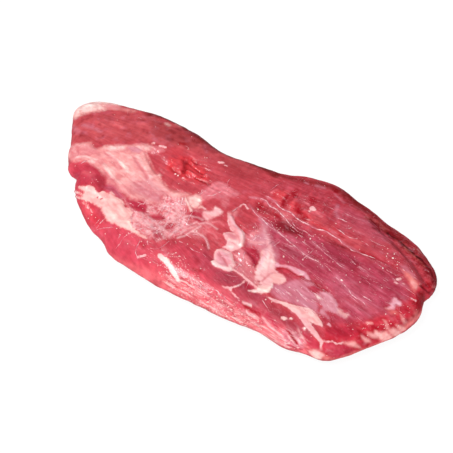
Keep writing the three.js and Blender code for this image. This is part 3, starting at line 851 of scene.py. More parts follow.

# %% Washes over the mottle and the films: pools, lobes, torn strings, slits, painted shade in the flap's crack, and painted highlights and glints
# Some rows paint light. The salmon strokes are painted highlights on lobes, ridges and the tip, and the
# white strokes on the front roll are painted glints. The dark strokes along the flap's crack are painted
# shade. The pink stroke along the broad end's rim is painted light, and the brightest marbling there is real
# marbling painted brighter, as if lit.
TOP_STAINS = marks("""
deep 0.7 1.3 - -37,-39 -33,-33 -33,-26 -26,-26 -26,-19 -16,-24 -11,-29 -3,-29 -8,-38 -29,-42
deep 0.5 1.4 0.91 -79,-36 -57,-27
deep 0.55 1.3 - -50,-75 -48,-68 -40,-66 -38,-74 -43,-79
deep 0.45 1.3 - -34,-81 -31,-71 -22,-71 -25,-81
deep 0.45 1.2 0.84 -60,-43 -48,-44
mauve_dark 0.45 2.2 - -56,-96 -49,-86 -37,-89 -32,-103 -43,-108
deep 0.5 1.2 - -93,-60 -86,-63 -81,-72 -86,-73
film_pale 0.6 1.2 0.91 -76,-76 -63,-78 -50,-83 -40,-83
film_pale 0.5 1.6 1.22 -99,-93 -72,-88 -56,-89
film_pale 0.7 0.8 0.68 -36,-45 -27,-60 -30,-77
film_pale 0.65 0.8 0.61 -37,-46 -30,-38 -18,-34 -9,-34
film_pale 0.6 0.8 0.68 -80,-47 -67,-48 -42,-47
film_pale 0.5 0.8 0.61 -75,-41 -62,-40 -39,-40
film_pale 0.7 0.8 0.76 -18,-84 -13,-75 -11,-64 -5,-45
film_pale 0.7 0.8 0.68 -9,-60 0,-58 9,-58 16,-60 24,-66 30,-72
film_pale 0.6 0.8 0.61 -9,-43 -3,-36 6,-34 19,-36
film_pale 0.5 0.8 0.61 -53,-62 -31,-56
film_pale 0.5 0.9 0.68 -47,-81 -52,-56 -50,-46
film_pale 0.5 0.9 0.68 -31,-84 -31,-71 -29,-61
film_pale 0.5 0.8 0.61 -23,-57 -14,-42
film_pale 0.5 1.0 0.68 -22,-63 -16,-57 -11,-49
film_rose 0.5 1.0 0.68 11,-46 20,-46 29,-50
film_rose 0.5 1.0 0.68 6,-29 13,-23 23,-25
film_rose 0.45 1.6 0.91 -38,-2 -37,29 -31,40 -21,41
film_rose 0.45 1.6 0.91 -31,-4 -28,28 -18,35 -6,36
film_rose 0.4 1.6 0.91 -26,2 -23,16 -16,27 -4,31
blood 0.55 2.0 - 45,61 48,73 54,82 61,85 66,73 67,60
blood 0.55 1.6 - 81,62 80,71 86,72 92,69 96,58 89,56
blood 0.5 1.6 - 105,57 108,64 121,61 129,54 120,51
blood 0.5 2.0 - 128,56 142,59 160,58 157,51 141,49
blood 0.5 2.0 - 153,66 179,61 171,57
pool 0.75 1.8 - 37,43 42,47 48,43 48,35 43,35
maroon 0.4 3 - 38,36 75,41 83,34 42,29
pool 0.95 1.0 - 69,80 73,62 71,57 67,63 65,77
pool 0.8 1.5 - 68,85 70,91 78,90 82,83 76,80
pool 0.95 1.2 - 93,65 95,71 102,67 106,58 98,57
pool 0.95 1.1 - 110,55 114,60 118,56 116,51
pool 0.55 1.8 - 97,91 100,98 108,96 110,88 104,86
pool 0.85 1.3 - 115,131 116,138 122,136 124,129 120,127
maroon 0.6 1.5 - 131,130 132,136 138,131 138,124
pool 0.55 1.6 - 69,39 77,42 84,36 77,33
maroon 0.5 2.6 - 83,29 92,35 121,26 118,17 103,16 90,19
crimson 0.7 1.2 0.99 173,58 180,58
maroon 0.45 1.4 0.99 164,35 188,42
salmon 0.5 1.1 0.68 44,68 48,77
salmon 0.2 1.1 0.68 82,70 92,64
salmon 0.45 1.6 1.22 179,63 204,65
film_mauve 0.5 1.0 0.61 72,118 78,118
film_mauve 0.35 1.6 1.06 90,122 102,126
film_mauve 0.4 1.2 0.68 122,125 143,118
film_mauve 0.4 1.6 1.06 138,108 144,93 153,85
film_rose 0.5 1.0 0.61 93,82 105,79
film_rose 0.5 1.0 0.61 121,74 133,72
pool 0.7 1.7 - 71,61 71,53 77,54 80,62 75,99 69,99
pool 0.7 1.5 - 85,73 93,76 98,69 99,58 92,58 87,66
pool 0.7 1.5 - 102,63 109,65 118,59 119,50 110,50 104,56
pool 0.6 1.4 - 111,138 118,141 125,132 121,127 114,131
pool 0.55 1.5 - 96,96 105,97 111,90 107,84 100,88
pool 0.5 1.8 - 36,40 43,43 52,39 54,29 46,31
pool 0.5 1.7 - 66,45 74,48 84,42 85,32 75,35
magenta 0.6 1.8 - -131,-67 -124,-57 -109,-56 -94,-61 -89,-71 -96,-77 -111,-78 -123,-75
magenta 0.4 1.8 - -80,-73 -74,-64 -64,-63 -60,-69 -70,-76
film_mauve 0.5 1.8 - 199,-127 203,-121 222,-120 232,-125 237,-131 230,-139 217,-140 207,-136
magenta 0.6 2 - 224,-112 235,-111 249,-114 256,-119 247,-124 236,-124 228,-119
pool 0.95 0.7 0.84 132,-126 157,-125
fat_white 0.8 0.6 0.46 127,-124 130,-121 140,-121
fat_white 0.75 0.6 0.46 138,-131 160,-131
fat_white 0.6 0.7 0.46 152,-143 167,-139
magenta 0.8 1.0 0.99 167,-119 174,-123 190,-128
film_pale 0.7 0.8 0.61 164,-126 183,-132 193,-133
film_pale 0.7 0.8 0.61 176,-131 204,-134
pool 1.0 0.7 0.84 203,-123 226,-131
film_pale 0.7 0.8 0.61 209,-136 216,-146
film_pale 0.7 0.7 0.53 210,-129 226,-135
film_pale 0.7 0.7 0.53 212,-122 221,-124 231,-128
magenta 0.8 0.8 0.68 213,-138 228,-139 238,-135
film_pale 0.5 0.8 0.53 215,-113 236,-124
magenta 0.6 0.8 0.61 74,-138 94,-138 130,-146
magenta 0.5 0.8 0.61 65,-144 104,-151
magenta 0.5 0.9 0.61 94,-127 113,-127 129,-130
salmon 0.35 2.5 1.82 -220,-58 -204,-58
maroon 0.25 2 1.52 -192,-58 -179,-66
salmon 0.35 2 1.37 -175,-113 -160,-117
crimson 0.35 1.8 1.22 -149,-119 -139,-127
crimson 0.4 1.5 1.06 262,-112 273,-110
salmon 0.35 1.5 0.91 267,-105 277,-102
flap_tan 0.6 1.2 0.91 184,114 201,123 220,118
maroon 0.7 1.0 0.76 190,117 205,119
maroon 0.6 1.0 0.91 175,124 183,122 191,123
maroon 0.7 1.2 0.91 218,118 244,115
crack 0.95 0.6 0.61 221,116 231,114 240,114 251,111
crack 1.0 0.6 0.84 251,111 273,106
crack 1.0 0.6 0.76 279,105 287,104 297,101
crack 0.95 0.6 0.68 299,100 307,98 317,92
flap_tan 0.8 0.6 0.53 255,108 265,106 298,96
maroon 0.4 1.8 - 309,99 316,104 331,103 336,96 324,81 316,87
pale_spot 0.2 0.9 0.68 327,78 334,88
pale_spot 0.4 0.9 0.61 273,119 281,117
crimson 0.8 1.0 0.76 312,60 321,64
crimson 0.8 1.0 0.76 314,77 324,75
pool 0.85 1.4 - 319,38 324,49 332,48 335,33 332,21 324,27
pool 0.8 1.2 0.99 330,9 334,11
pool 0.85 1.4 - 292,-46 295,-42 302,-42 304,-47 298,-50
rim_glow 0.75 1.4 1.37 337,-17 343,21 344,41 341,56
end_orange 0.6 1.0 0.76 289,-110 327,-47 338,-17
end_orange 0.5 1.6 - 299,-10 304,-3 311,-3 312,-8 305,-12
bright_marble 0.5 0.8 0.53 294,-9 298,-8 300,-5
bright_marble 0.6 0.9 0.84 286,-45 291,-42
bright_marble 0.8 1.6 - 248,-131 258,-123 265,-123 266,-131 260,-135
pool 0.5 1.6 1.22 286,-63 293,-61
pool 0.6 1.6 1.22 303,-40 311,-37
pool 0.5 1.6 1.22 315,-26 321,-23
pool 0.5 1.6 1.06 328,-8 331,1
bright_marble 0.75 1.5 - 290,-66 303,-62 308,-63 302,-68 295,-68
bright_marble 0.75 1.5 - 294,-56 299,-53 307,-51 312,-52 305,-57 298,-58
bright_marble 0.9 1.7 - 302,-47 308,-45 315,-37 332,-35 333,-42 325,-48 304,-52
bright_marble 0.5 1.4 - 301,-27 306,-26 318,-32 313,-34
bright_marble 0.9 1.6 - 318,-33 320,-26 348,-16 343,-27 323,-34
bright_marble 0.7 1.4 - 320,-20 325,-16 342,-9 338,-17 327,-21
bright_marble 0.55 1.4 - 315,-4 333,-4 330,-9 323,-9
bright_marble 0.7 1.5 - 276,-92 288,-79 303,-80
maroon 0.6 1.8 1.52 -160,82 -152,82
maroon 0.65 1.6 1.22 -154,93 -149,93
maroon 0.6 1.8 1.52 -138,80 -132,81
maroon 0.6 2.0 1.52 -118,87 -111,87
maroon 0.45 1.8 1.37 -151,65 -145,67
maroon 0.45 2.0 1.52 -137,94 -130,94
maroon 0.5 2.5 1.9 -97,85 -78,88
pool 0.55 1.6 1.06 -129,69 -122,71
pale_spot 0.5 1.6 1.22 -176,93 -169,92
tip_blush 0.4 1.8 1.22 -163,102 -155,102
tip_blush 0.35 1.8 1.37 -147,116 -140,118
film_mauve 0.35 2.4 1.52 -290,23 -273,24
film_mauve 0.4 2.0 1.22 -265,24 -254,23
film_mauve 0.3 2.4 1.52 -312,16 -289,9
salmon 0.35 2.6 1.82 -250,49 -231,49
salmon 0.3 2.6 1.82 -211,70 -191,70
maroon 0.3 2.6 1.82 -281,2 -264,3
maroon 0.3 2.6 1.82 -274,55 -256,56
maroon 0.25 2.6 1.82 -216,46 -196,46
far_brown 0.35 4 - -209,87 -140,95 -98,91 -112,71 -144,61 -178,59
maroon 0.45 2.0 1.37 140,125 166,120
coral 0.4 1.5 1.06 182,121 199,122
lobe_red 0.4 1.5 1.06 145,-43 155,-40 166,-41
maroon 0.28 3 1.98 243,1 251,-2
maroon 0.25 3 1.98 258,39 268,38
maroon 0.25 3 1.98 201,18 216,19
maroon 0.25 3 1.82 173,35 185,35
meat_pink 0.5 3 - 258,-112 268,-101 282,-96 287,-110 276,-120
maroon 0.28 3 - 89,33 110,47 127,30 109,17
far_brown 0.3 2.5 2.28 125,134 144,133 161,129
far_brown 0.5 2.5 2.28 117,136 144,134 169,127
maroon 0.3 2.5 1.52 101,29 130,25
mauve_dark 0.6 4 - 160,30 223,35 226,19 200,12 171,13
maroon 0.3 3 - 92,32 129,29 123,18 103,18
far_brown 0.3 5 - -60,84 -25,96 7,97 12,79 -15,64 -44,63
""")

# %% Washes laid over each other
WASH_ROUGH = 0.35  # how ragged the border of a wash is, as a share of its softness


def washed(colours, stains):
    """Lays a table of washes over the colours, one after the other."""
    for tint, strength, soft, half_wide, shape in stains:
        near, distance = measured(half_wide, shape, 2 * soft + (half_wide or 0) + 1, WASH_ROUGH * soft)
        cover = strength * smooth(distance, -soft, soft * 0.8)
        colours[near] += cover[:, None] * (paint(tint) - colours[near])


def tinted(colours, tint, share):
    """Lays one thin wash whose strength is given point by point."""
    colours += share[:, None] * (paint(tint) - colours)


def shaded(colours, change, powers):
    """Colours made paler or darker point by point, by its own power in red, green and blue."""
    return colours * (1 + change)[:, None] ** np.array(powers)


flesh = np.tile(paint("soft_red"), (POINTS, 1))
washed(flesh, STAINS)

# %% [markdown]
# ## Places with a surface of their own
# Some places differ in more than tint: the tip is pitted, the front roll is sinewy, the puckers are
# pleated, the pit and the cut end are torn, and the outer flap is dry. Each is an outline with a soft
# edge, and its share at a point steers the mottle, the relief and the wetness further on.

# %% Zones with a texture of their own: name, softness mm, half width mm, corners
ZONES = marks("""
tip 7 - -346,39 -337,49 -288,61 -250,104 -175,113 -91,113 -51,108 -51,80 -92,70 -120,55 -169,42 -212,20
 -251,-3 -307,-16
puckers 4 - 36,41 37,65 52,91 81,108 116,115 149,114 168,100 166,75 148,54 129,36 105,29 81,27 56,27
pit 3 - -129,31 -121,46 -107,59 -84,59 -56,51 -44,37 -47,22 -69,13 -90,6 -111,11
roll 4 6.46 17,-148 49,-147 89,-148 136,-144 183,-142 229,-133
roll_wet 3 5.32 12,-138 85,-142 127,-142 161,-143
end_band 3 - 247,-91 266,-71 280,-54 288,-36 307,-2 314,19 316,67 329,75 344,75 350,21 349,-30 323,-84
 299,-121 268,-128 248,-113
dry_flap 2.5 - 175,118 200,124 226,122 250,117 272,115 295,106 320,91 336,107 343,88 330,72 305,83 284,94
 259,102 231,108 204,105
dry 4 - 17,119 100,151 165,150 229,151 278,145 339,113 349,88 322,60 291,78 249,91 200,100 152,106 91,103
 37,89
""")
ZONES.append(["lilac_wet", 2, None, film_outline["lilac_wet"]])
ZONE_ROUGH = 0.5

zones = {}
for name, soft, half_wide, shape in ZONES:
    near, distance = measured(half_wide, shape, soft + (half_wide or 0) + 1, ZONE_ROUGH * soft)
    zones[name] = np.zeros(POINTS)
    zones[name][near] = smooth(distance, -soft, soft)

print("points in a zone:", {name: int((share > 0.5).sum()) for name, share in zones.items()})

# %% [markdown]
# ## Mottle
# Flat washes alone look like plastic. Meat is cloudy over a centimetre, speckled over a few
# millimetres and drawn out along its fibres, so noise at those sizes shifts each tint a little. Films
# and the strongest traced stains come last, because they hide the mottle.

# %% Patterns in the flesh: each is noise at one or two sizes in mm, with its seed after them
clouds = layered(place / 9, 31)
spots = layered(place / [4.4, 4.4, 6], 33, 2)
bundles = noise(grain / [18, 3.6, 3.6], 35)
pleats = noise((0.4 * place + 0.6 * swirled) / [2.4, 11, 11], 68)
flames = noise(swirled / [7, 3.0, 4], 81) + 0.5 * noise(place / 3, 82)
# The wall's sinews follow the front edge, so their noise uses the unrolled place.
sinews = noise(flat_3d / [30, 1.7, 1], 66) + 0.4 * noise(flat_3d / [11, 1.2, 1], 74)
shreds = noise(swirled / [6.5, 3.8, 5], 69) + 0.35 * noise(place / 2.8, 76)
# Pale lilac haze lies in long wisps over the broad end, and the dried far edge is darkly mottled.
haze = noise(grain / [26, 3.4, 3.4], 83) + 0.5 * noise(grain / [9, 1.7, 1.7], 84)
dried = noise(grain / [7, 2.4, 3], 85) + 0.5 * noise(place / 2.6, 86)


# %% Mottle: tint, strength, where, pattern, and the pattern's values where the tint starts and is full
def mottled(rows):
    for tint, strength, where, pattern, start, full in rows:
        tinted(flesh, tint, strength * where * smooth(pattern, start, full))


mottled([
    ("mauve_patch", 0.34, 1, clouds, 0.05, 0.6),
    ("shade", 0.44, 1, -clouds, 0.05, 0.6),
])
flesh = shaded(flesh, 0.17 * spots + 0.13 * bundles, [1.0, 1.9, 1.7])
mottled([
    ("tip_lilac", 0.46, zones["tip"], layered(place / 7, 36), 0.05, 0.5),
    ("maroon", 0.50, zones["tip"], layered(place / 7, 37), 0.10, 0.6),
    ("lobe_red", 0.30, zones["puckers"], pleats, 0.0, 0.6),
    ("shade", 0.40, zones["puckers"], -pleats, 0.0, 0.6),
    ("crimson", 0.55, zones["end_band"], -flames, 0.08, 0.6),
    ("fat_pink", 0.08, zones["end_band"], flames, 0.30, 0.7),
    ("film_pale", 0.46, zones["roll"], sinews, 0.0, 0.5),
    ("magenta", 0.45, zones["roll"], -sinews, 0.2, 0.7),
    ("blood", 0.6, zones["pit"], shreds, -0.2, 0.4),
    ("crimson", 0.4, zones["pit"], -shreds, 0.2, 0.8),
    ("film_mauve", 0.25, smooth(flat[:, 0], 30, 70), haze, 0.25, 0.85),
    ("maroon", 0.5, zones["dry_flap"], dried, 0.0, 0.6),
    ("coral", 0.40, zones["dry_flap"], -dried, 0.25, 0.7),
])

# %% Films over the mottle, and the colour of the fat
clumps = noise(swirled / [8, 5, 6], 87) + 0.5 * noise(swirled / 3.2, 88)
film_tint = np.tile(paint("film_mauve"), (POINTS, 1))
tinted(film_tint, "film_rose", smooth(torn, 0, 0.6))
tinted(film_tint, "film_pale", torn * web)
stretched = noise(grain / [13, 1.7, 2], 88)
cover = film * (0.80 + 0.25 * clouds + 0.55 * stretched) * (1 - torn)
cover += film * torn * np.clip(0.62 + 0.70 * clumps + 0.35 * web, 0.1, 1.2)
flesh += np.clip(cover, 0, 1)[:, None] * (film_tint - flesh)
washed(flesh, TOP_STAINS)
flesh = np.clip(flesh, DARKEST_FLESH, PALEST)

sheet_tints, sheet_of = np.unique(fat_sheet, return_inverse=True)
fat_colour = np.stack([paint(name) for name in sheet_tints])[sheet_of]
washed(fat_colour, FAT_STAINS)
wisps = layered(grain / [13, 4.2, 4.2], 97, 2) + 0.4 * noise(swirled / 3.4, 98)
fat_colour = shaded(fat_colour, 0.20 * wisps, [0.25, 1.3, 1.2])

# %% [markdown]
# ## The hidden side
# Nothing shows what the steak looks like underneath, so it is finished like the rest: the same
# flesh, with islands of thin fat and a veil of membrane left to noise. The far wall gets a few such
# islands as well.

# %% Underside and far wall
under_share = smooth(row_of, TOP_ROWS + OVER_ROWS - 2, TOP_ROWS + OVER_ROWS + BELOW_ROWS)
blotch = layered(place / 30, 41)
islands = layered(grain / [26, 13, 13], 47) * 9 - 3.2 + ragged * 0.6
fat = np.where(under_share > 0.4, np.maximum(fat, np.minimum(islands, 3)), fat)
fat_thick = np.maximum(fat_thick, 0.5 * smooth(islands, 0, 2) * smooth(under_share, 0.4, 0.9))
veil = smooth(layered(grain / [40, 20, 20], 53), 0.02, 0.35)
film = np.maximum(film, 0.6 * veil * smooth(under_share, 0.3, 0.9))
under_blend = smooth(blotch, -0.3, 0.4)[:, None]
under_tint = paint("under_red") + (paint("under_pink") - paint("under_red")) * under_blend
flesh += under_share[:, None] * (under_tint - flesh)

# %% [markdown]
# ## Relief
# The light finds every fold, so the relief is real geometry. Broad undulation and bundles of fibre
# come from noise, the sheets of fat stand up by their thickness, and traced strokes press in the
# puckers, furrows and the torn pit, or raise the folds of the fat.

# %% Dents and ridges: rise mm, half width mm, path
DENTS = marks("""
-0.4 1.22 191,115 204,119 218,116 230,115 273,107 294,101 321,89
-0.5 1.37 177,42 184,42 192,44 201,48 251,59 284,61
-1.3 1.82 -105,46 -94,37 -89,24
-0.8 1.14 -96,47 -86,43 -64,40
-0.8 1.06 -96,55 -85,53
-0.9 1.14 -66,25 -42,28
1.0 1.67 -58,40 -54,40
0.8 1.52 -85,30 -69,29
0.7 1.52 -115,28 -112,39
-0.8 0.99 -60,33 -58,35
-1.2 1.67 -109,20 -91,18
-0.8 1.06 -162,21 -134,3 -120,-2
-0.7 1.29 72,60 70,70 70,79
-0.5 1.98 72,88 79,85
-0.6 1.82 98,65 102,62
-0.5 1.22 113,55 116,55
-0.6 1.98 40,39 53,37
-0.5 1.37 67,37 81,38
-0.4 2.28 84,27 111,26
-0.5 1.52 116,132 121,133
0.6 1.67 81,64 86,65
0.5 1.67 108,66 114,65
0.6 1.52 60,42 63,42
0.5 1.82 91,76 97,78
-0.6 1.06 129,-123 156,-125
-0.5 0.91 214,-127 223,-130
-0.6 0.91 186,-35 194,-36 202,-39 213,-36
-0.5 0.76 137,-42 149,-39 165,-40
-0.6 1.22 -170,-65 -161,-62 -144,-66 -131,-71
-0.8 1.22 -186,-50 -175,-59 -170,-70 -171,-80
-0.8 1.22 -148,-104 -125,-119 -112,-119
1.0 3.8 -222,-59 -200,-63
0.7 3.04 -172,-119 -154,-124
-0.7 1.22 -215,-85 -209,-78 -199,-74 -189,-74
-0.6 1.14 -110,-74 -102,-67 -92,-67
-0.5 1.06 -78,-74 -58,-63
-0.5 1.22 -27,-32 -15,-34
0.7 2.28 -92,-103 -83,-108 -74,-109
-0.4 0.68 -93,-102 -83,-108 -75,-109
0.45 1.52 -202,-32 -175,-44 -154,-50
0.4 1.52 -182,-16 -176,-19 -158,-25 -146,-25
0.5 1.06 -160,21 -129,4 -109,-4
-0.4 0.99 -199,-38 -185,-45 -167,-51
-0.4 0.99 -214,-12 -197,-12 -173,-23
0.4 1.22 -213,-8 -165,-20
-0.4 1.06 -170,4 -148,-7 -127,-16
0.3 1.67 -168,8 -123,-14
0.5 0.91 -248,-48 -237,-39 -223,-33
-0.4 1.06 -147,-35 -107,-36
-0.8 0.91 316,62 329,69 342,80
-0.7 1.14 313,58 319,62
-0.7 1.14 318,74 324,75
0.5 1.9 -242,47 -231,48
0.5 2.28 -276,37 -265,37
-0.5 1.52 -165,-67 -158,-65
-0.5 1.22 256,-79 273,-62 279,-53 281,-41 287,-34 289,-25 297,-16 300,-8 306,-1
0.5 2.28 266,-113 272,-109
0.4 2.28 280,-75 285,-67
0.4 2.28 302,-31 305,-20
-0.4 1.06 293,-49 306,-49
-0.4 1.06 286,-61 296,-61
0.8 1.14 26,-9 45,-19 61,-29 67,-42
-0.6 0.76 26,-16 37,-24 50,-31
0.6 1.06 51,-91 69,-92 80,-88
-0.5 0.76 48,-71 62,-77 74,-85
0.6 1.14 133,-93 145,-90 146,-80
-0.35 0.68 129,-77 129,-68 132,-56
0.3 1.22 104,-34 111,-47 115,-62 121,-76
-0.5 0.76 47,-62 60,-58 70,-49
-0.8 1.22 81,-45 95,-49 104,-57
""")

# %% Relief, mm along the normals: each term is a height times a noise of that size, then its seed
broad_relief = 0.55 * noise(place / [34, 24, 20], 61) + 0.28 * noise(place / 11, 62)
fibre_relief = 0.24 * noise(grain / [30, 5.2, 5.2], 63) + 0.14 * noise(grain / [13, 2.3, 2.3], 64)
fine_relief = (1 - 0.75 * zones["tip"]) * fibre_relief
fine_relief += 0.10 * noise(place / 3.1, 65) + 0.20 * noise(place / 6.3, 60)
fine_relief += zones["tip"] * 0.40 * layered(place / [6.5, 6.5, 8], 67, 2)
fine_relief += 0.45 * zones["roll"] * sinews + 0.30 * zones["puckers"] * pleats
fine_relief += 0.3 * zones["pit"] * shreds + 0.15 * zones["end_band"] * flames
fine_relief -= 0.35 * zones["dry_flap"] * dried
traced = np.zeros(POINTS)
for rise, half_wide, path in DENTS:
    near = nearby(path, 3 * half_wide)
    traced[near] += rise * np.exp(-((path_distance(flat[near], path) / half_wide) ** 2))
relief = broad_relief + fine_relief + traced

# %% Painted shade in the hollows and painted highlight on the ridges
PAINTED_RELIEF_SHADE = 0.30  # how strongly a hollow darkens and a ridge pales, per mm
FAT_PAINTED_RELIEF_SHADE = 0.40
# Painted shade darkens the flesh in hollows and painted highlight pales it on ridges, on top of its own
# paler raised bundles.
hollow_shade = np.clip(PAINTED_RELIEF_SHADE * (fine_relief + 0.5 * traced), -0.6, 0.35)
flesh = np.clip(shaded(flesh, hollow_shade, [0.9, 2.0, 1.7]), DARKEST_FLESH, PALEST)
# The folds of the fat get the same painted shade in their creases and painted highlight on their ridges.
fat_shade = np.clip(FAT_PAINTED_RELIEF_SHADE * traced + 0.15 * fine_relief, -0.5, 0.2)
fat_colour = shaded(fat_colour, fat_shade, [0.5, 1.6, 1.4])

# %% Fat and torn film on the relief, and the raised skin
UNDER_UNEVEN = 0.35
fat_share = smooth(fat, -0.5, 1.0)
relief *= 1 - 0.25 * fat_share
relief += fat_thick * (1 + 0.30 * noise(place / 4.2, 71) + 0.18 * noise(grain / [9, 1.8, 1.8], 72))
relief += film * torn * 0.35 * web
LOW = row_of >= TOP_ROWS + OVER_ROWS + BELOW_ROWS
skin_place = place + normal * np.where(LOW, 0, relief)[:, None]
skin_place[LOW, 2] = UNDER_UNEVEN * smooth(noise(place / 9, 75), 0, 0.6)[LOW]
skin_place[:, 2] = np.maximum(skin_place[:, 2], 0)
skin_normal = outward_normals(skin_place)
print("relief, mm:", round(float(relief.min()), 2), "to", round(float(relief.max()), 2))

# %% Fibrous and wet places
fibrous = 0.20 + 0.40 * smooth(flat[:, 0], -30, 50) + 0.3 * zones["roll"]
fibrous *= (1 - 0.8 * zones["tip"]) * (1 - 0.5 * film) * (1 - 0.5 * zones["end_band"])
wet = 0.04 + 0.9 * zones["roll_wet"] + 0.30 * zones["pit"] + 0.05 * zones["puckers"]
wet += 0.20 * zones["end_band"]
wet += 0.7 * zones["lilac_wet"] + 0.25 * film * torn + 0.25 * smooth(clouds, 0.1, 0.6)
wet *= 0.25 + 0.75 * smooth(flesh[:, 0], 0.22, 0.45)  # a dark pool lies deep and mirrors little
wet = np.clip(wet * (1 - 0.9 * zones["dry"]) * (1 - 0.8 * zones["tip"]) * (1 - 0.6 * fat_share), 0, 1)

# %% The skin as a mesh with its layers
def mesh_piece(name, points_mm, edges, quads):
    mesh = bpy.data.meshes.new(name)
    mesh.from_pydata((points_mm * MM).tolist(), edges, quads)
    mesh.shade_smooth()
    return linked(name, mesh)


def point_value(piece, name, values):
    layer = piece.data.attributes.new(name, "FLOAT", "POINT")
    layer.data.foreach_set("value", values.astype(np.float32))


def point_colour(piece, name, values):
    layer = piece.data.attributes.new(name, "FLOAT_COLOR", "POINT")
    with_alpha = np.column_stack([values, np.ones(len(values))])
    layer.data.foreach_set("color", with_alpha.astype(np.float32).ravel())


steak = mesh_piece("steak_skin", skin_place, [], faces.tolist())
for name, values in {
        "fat": fat,
        "fat_soft": fat_soft,
        "wet": wet,
        "fibrous": fibrous,
        "dry": zones["dry"],
        "sinew_and_glint": zones["roll"] * smooth(flesh[:, 1], 0.006, 0.02),
        "crusty": zones["dry_flap"],
        "lacy": np.clip(film * torn * (fat < 0.5), 0, 1)}.items():
    point_value(steak, name, values)
point_colour(steak, "flesh", flesh)
point_colour(steak, "fat_colour", fat_colour)

# %% [markdown]
# ## Shared effects
# Two effects are node groups of their own, so that another cut of meat can take them over. Muscle
# grain stretches noise along the fan of the fibres and gives streaks, mottling, thin pale veins and a
# height. Wet gloss breaks up the shine of every finish here, so that nothing is evenly shiny.

# %% Node helpers
def wire(tree, value, socket):
    """Sets a socket to a value, or links it to another socket."""
    if isinstance(value, bpy.types.NodeSocket):
        tree.links.new(value, socket)
    elif value is not None:
        socket.default_value = value


def add_node(tree, kind, links, **settings):
    node = tree.nodes.new(kind)
    for label, v in settings.items():
        setattr(node, label, v)
    for label, v in links.items():
        wire(tree, v, node.inputs[label])
    return node


def output_of(tree, kind, links, **settings):
    """The first output of a new node."""
    return add_node(tree, kind, links, **settings).outputs[0]


def new_tree(name, kind, inputs, outputs):
    """A node tree and the sockets at its two ends. An input is a number, or a socket's kind."""
    tree = bpy.data.node_groups.new(name, kind)
    for label, given in inputs.items():
        if isinstance(given, str):
            tree.interface.new_socket(label, in_out="INPUT", socket_type="NodeSocket" + given)
            continue
        number = "NodeSocketInt" if isinstance(given, int) else "NodeSocketFloat"
        tree.interface.new_socket(label, in_out="INPUT", socket_type=number).default_value = given
    for label, given in outputs.items():
        tree.interface.new_socket(label, in_out="OUTPUT", socket_type="NodeSocket" + given)
    return tree, tree.nodes.new("NodeGroupInput").outputs, tree.nodes.new("NodeGroupOutput").inputs


# %% Shader helpers
def maths(tree, operation, a, b=None, c=None, clamp=False):
    return output_of(tree, "ShaderNodeMath", {0: a, 1: b, 2: c}, operation=operation, use_clamp=clamp)


def ramp(tree, value, low, high, to_low=0.0, to_high=1.0):
    """An S-shaped ramp between two values."""
    return output_of(tree, "ShaderNodeMapRange", {
        "Value": value, "From Min": low, "From Max": high, "To Min": to_low, "To Max": to_high,
    }, interpolation_type="SMOOTHSTEP")


def blended(tree, share, a, b, kind="MIX"):
    node = add_node(tree, "ShaderNodeMix", {"Factor": share, "A": a, "B": b},
                    data_type="RGBA", blend_type=kind)
    return node.outputs["Result"]


def noise_at(tree, vector, scale, detail=3.0, rough=0.5, twist=0.0):
    return output_of(tree, "ShaderNodeTexNoise", {
        "Vector": vector, "Scale": scale, "Detail": detail, "Roughness": rough, "Distortion": twist})


def scaled(tree, vector, factors):
    return output_of(tree, "ShaderNodeVectorMath", {0: vector, 1: factors}, operation="MULTIPLY")


def shared_out(tree, a, b, share):
    """A share of a, and the rest of b."""
    return maths(tree, "MULTIPLY_ADD", a, share, maths(tree, "MULTIPLY", b, 1 - share))


def off_middle(tree, noise_value):
    """How far a noise is from its middle, which is zero along thin winding lines."""
    return maths(tree, "ABSOLUTE", maths(tree, "SUBTRACT", noise_value, 0.5))


# %% Muscle grain group
muscle_grain, gin, gout = new_tree(
    "Muscle Grain", "ShaderNodeTree",
    {"Coordinates": "Vector", "Fibre Scale": 420.0, "Mottle Scale": 160.0},
    {"Streaks": "Float", "Mottle": "Float", "Veins": "Float", "Height": "Float"})
tree = muscle_grain
x, y, z = add_node(tree, "ShaderNodeSeparateXYZ", {0: gin["Coordinates"]}).outputs
along = maths(tree, "SUBTRACT", x, FAN_X * MM)
sideways = maths(tree, "SUBTRACT", y, FAN_Y * MM)
across = maths(tree, "DIVIDE", maths(tree, "MULTIPLY", sideways, FAN_SPAN * MM), along)
fan = output_of(tree, "ShaderNodeCombineXYZ", {0: along, 1: across, 2: z})


def fibre_noise(slowness, scale_share, detail, rough, twist):
    """Noise drawn out along the fibres, at a share of the group's fibre scale."""
    scale = maths(tree, "MULTIPLY", gin["Fibre Scale"], scale_share)
    return noise_at(tree, scaled(tree, fan, (slowness, 1.0, 1.0)), scale, detail, rough, twist)


fine = fibre_noise(0.13, 1.0, 4.0, 0.6, 0.35)
broad = fibre_noise(0.35, 0.3, 3.0, 0.55, 0.5)
vein_noise = fibre_noise(0.35, 0.55, 2.0, 0.5, 1.2)
mottle = noise_at(tree, gin["Coordinates"], gin["Mottle Scale"], 4.0, 0.6)
vein_line = ramp(tree, off_middle(tree, vein_noise), 0.0, 0.028, 1.0, 0.0)
for label, v in {
        "Streaks": shared_out(tree, fine, broad, 0.6),
        "Mottle": mottle,
        "Veins": maths(tree, "MULTIPLY", vein_line, ramp(tree, mottle, 0.40, 0.62)),
        "Height": shared_out(tree, fine, mottle, 0.7)}.items():
    wire(tree, v, gout[label])

# %% Wet gloss group
wet_gloss, gin, gout = new_tree(
    "Wet Gloss", "ShaderNodeTree",
    {"Coordinates": "Vector", "Wet": 0.30, "Dry": 0.52}, {"Roughness": "Float"})
pools = noise_at(wet_gloss, gin["Coordinates"], 95.0, 4.0, 0.6)
wire(wet_gloss, ramp(wet_gloss, pools, 0.36, 0.62, gin["Wet"], gin["Dry"]), gout["Roughness"])


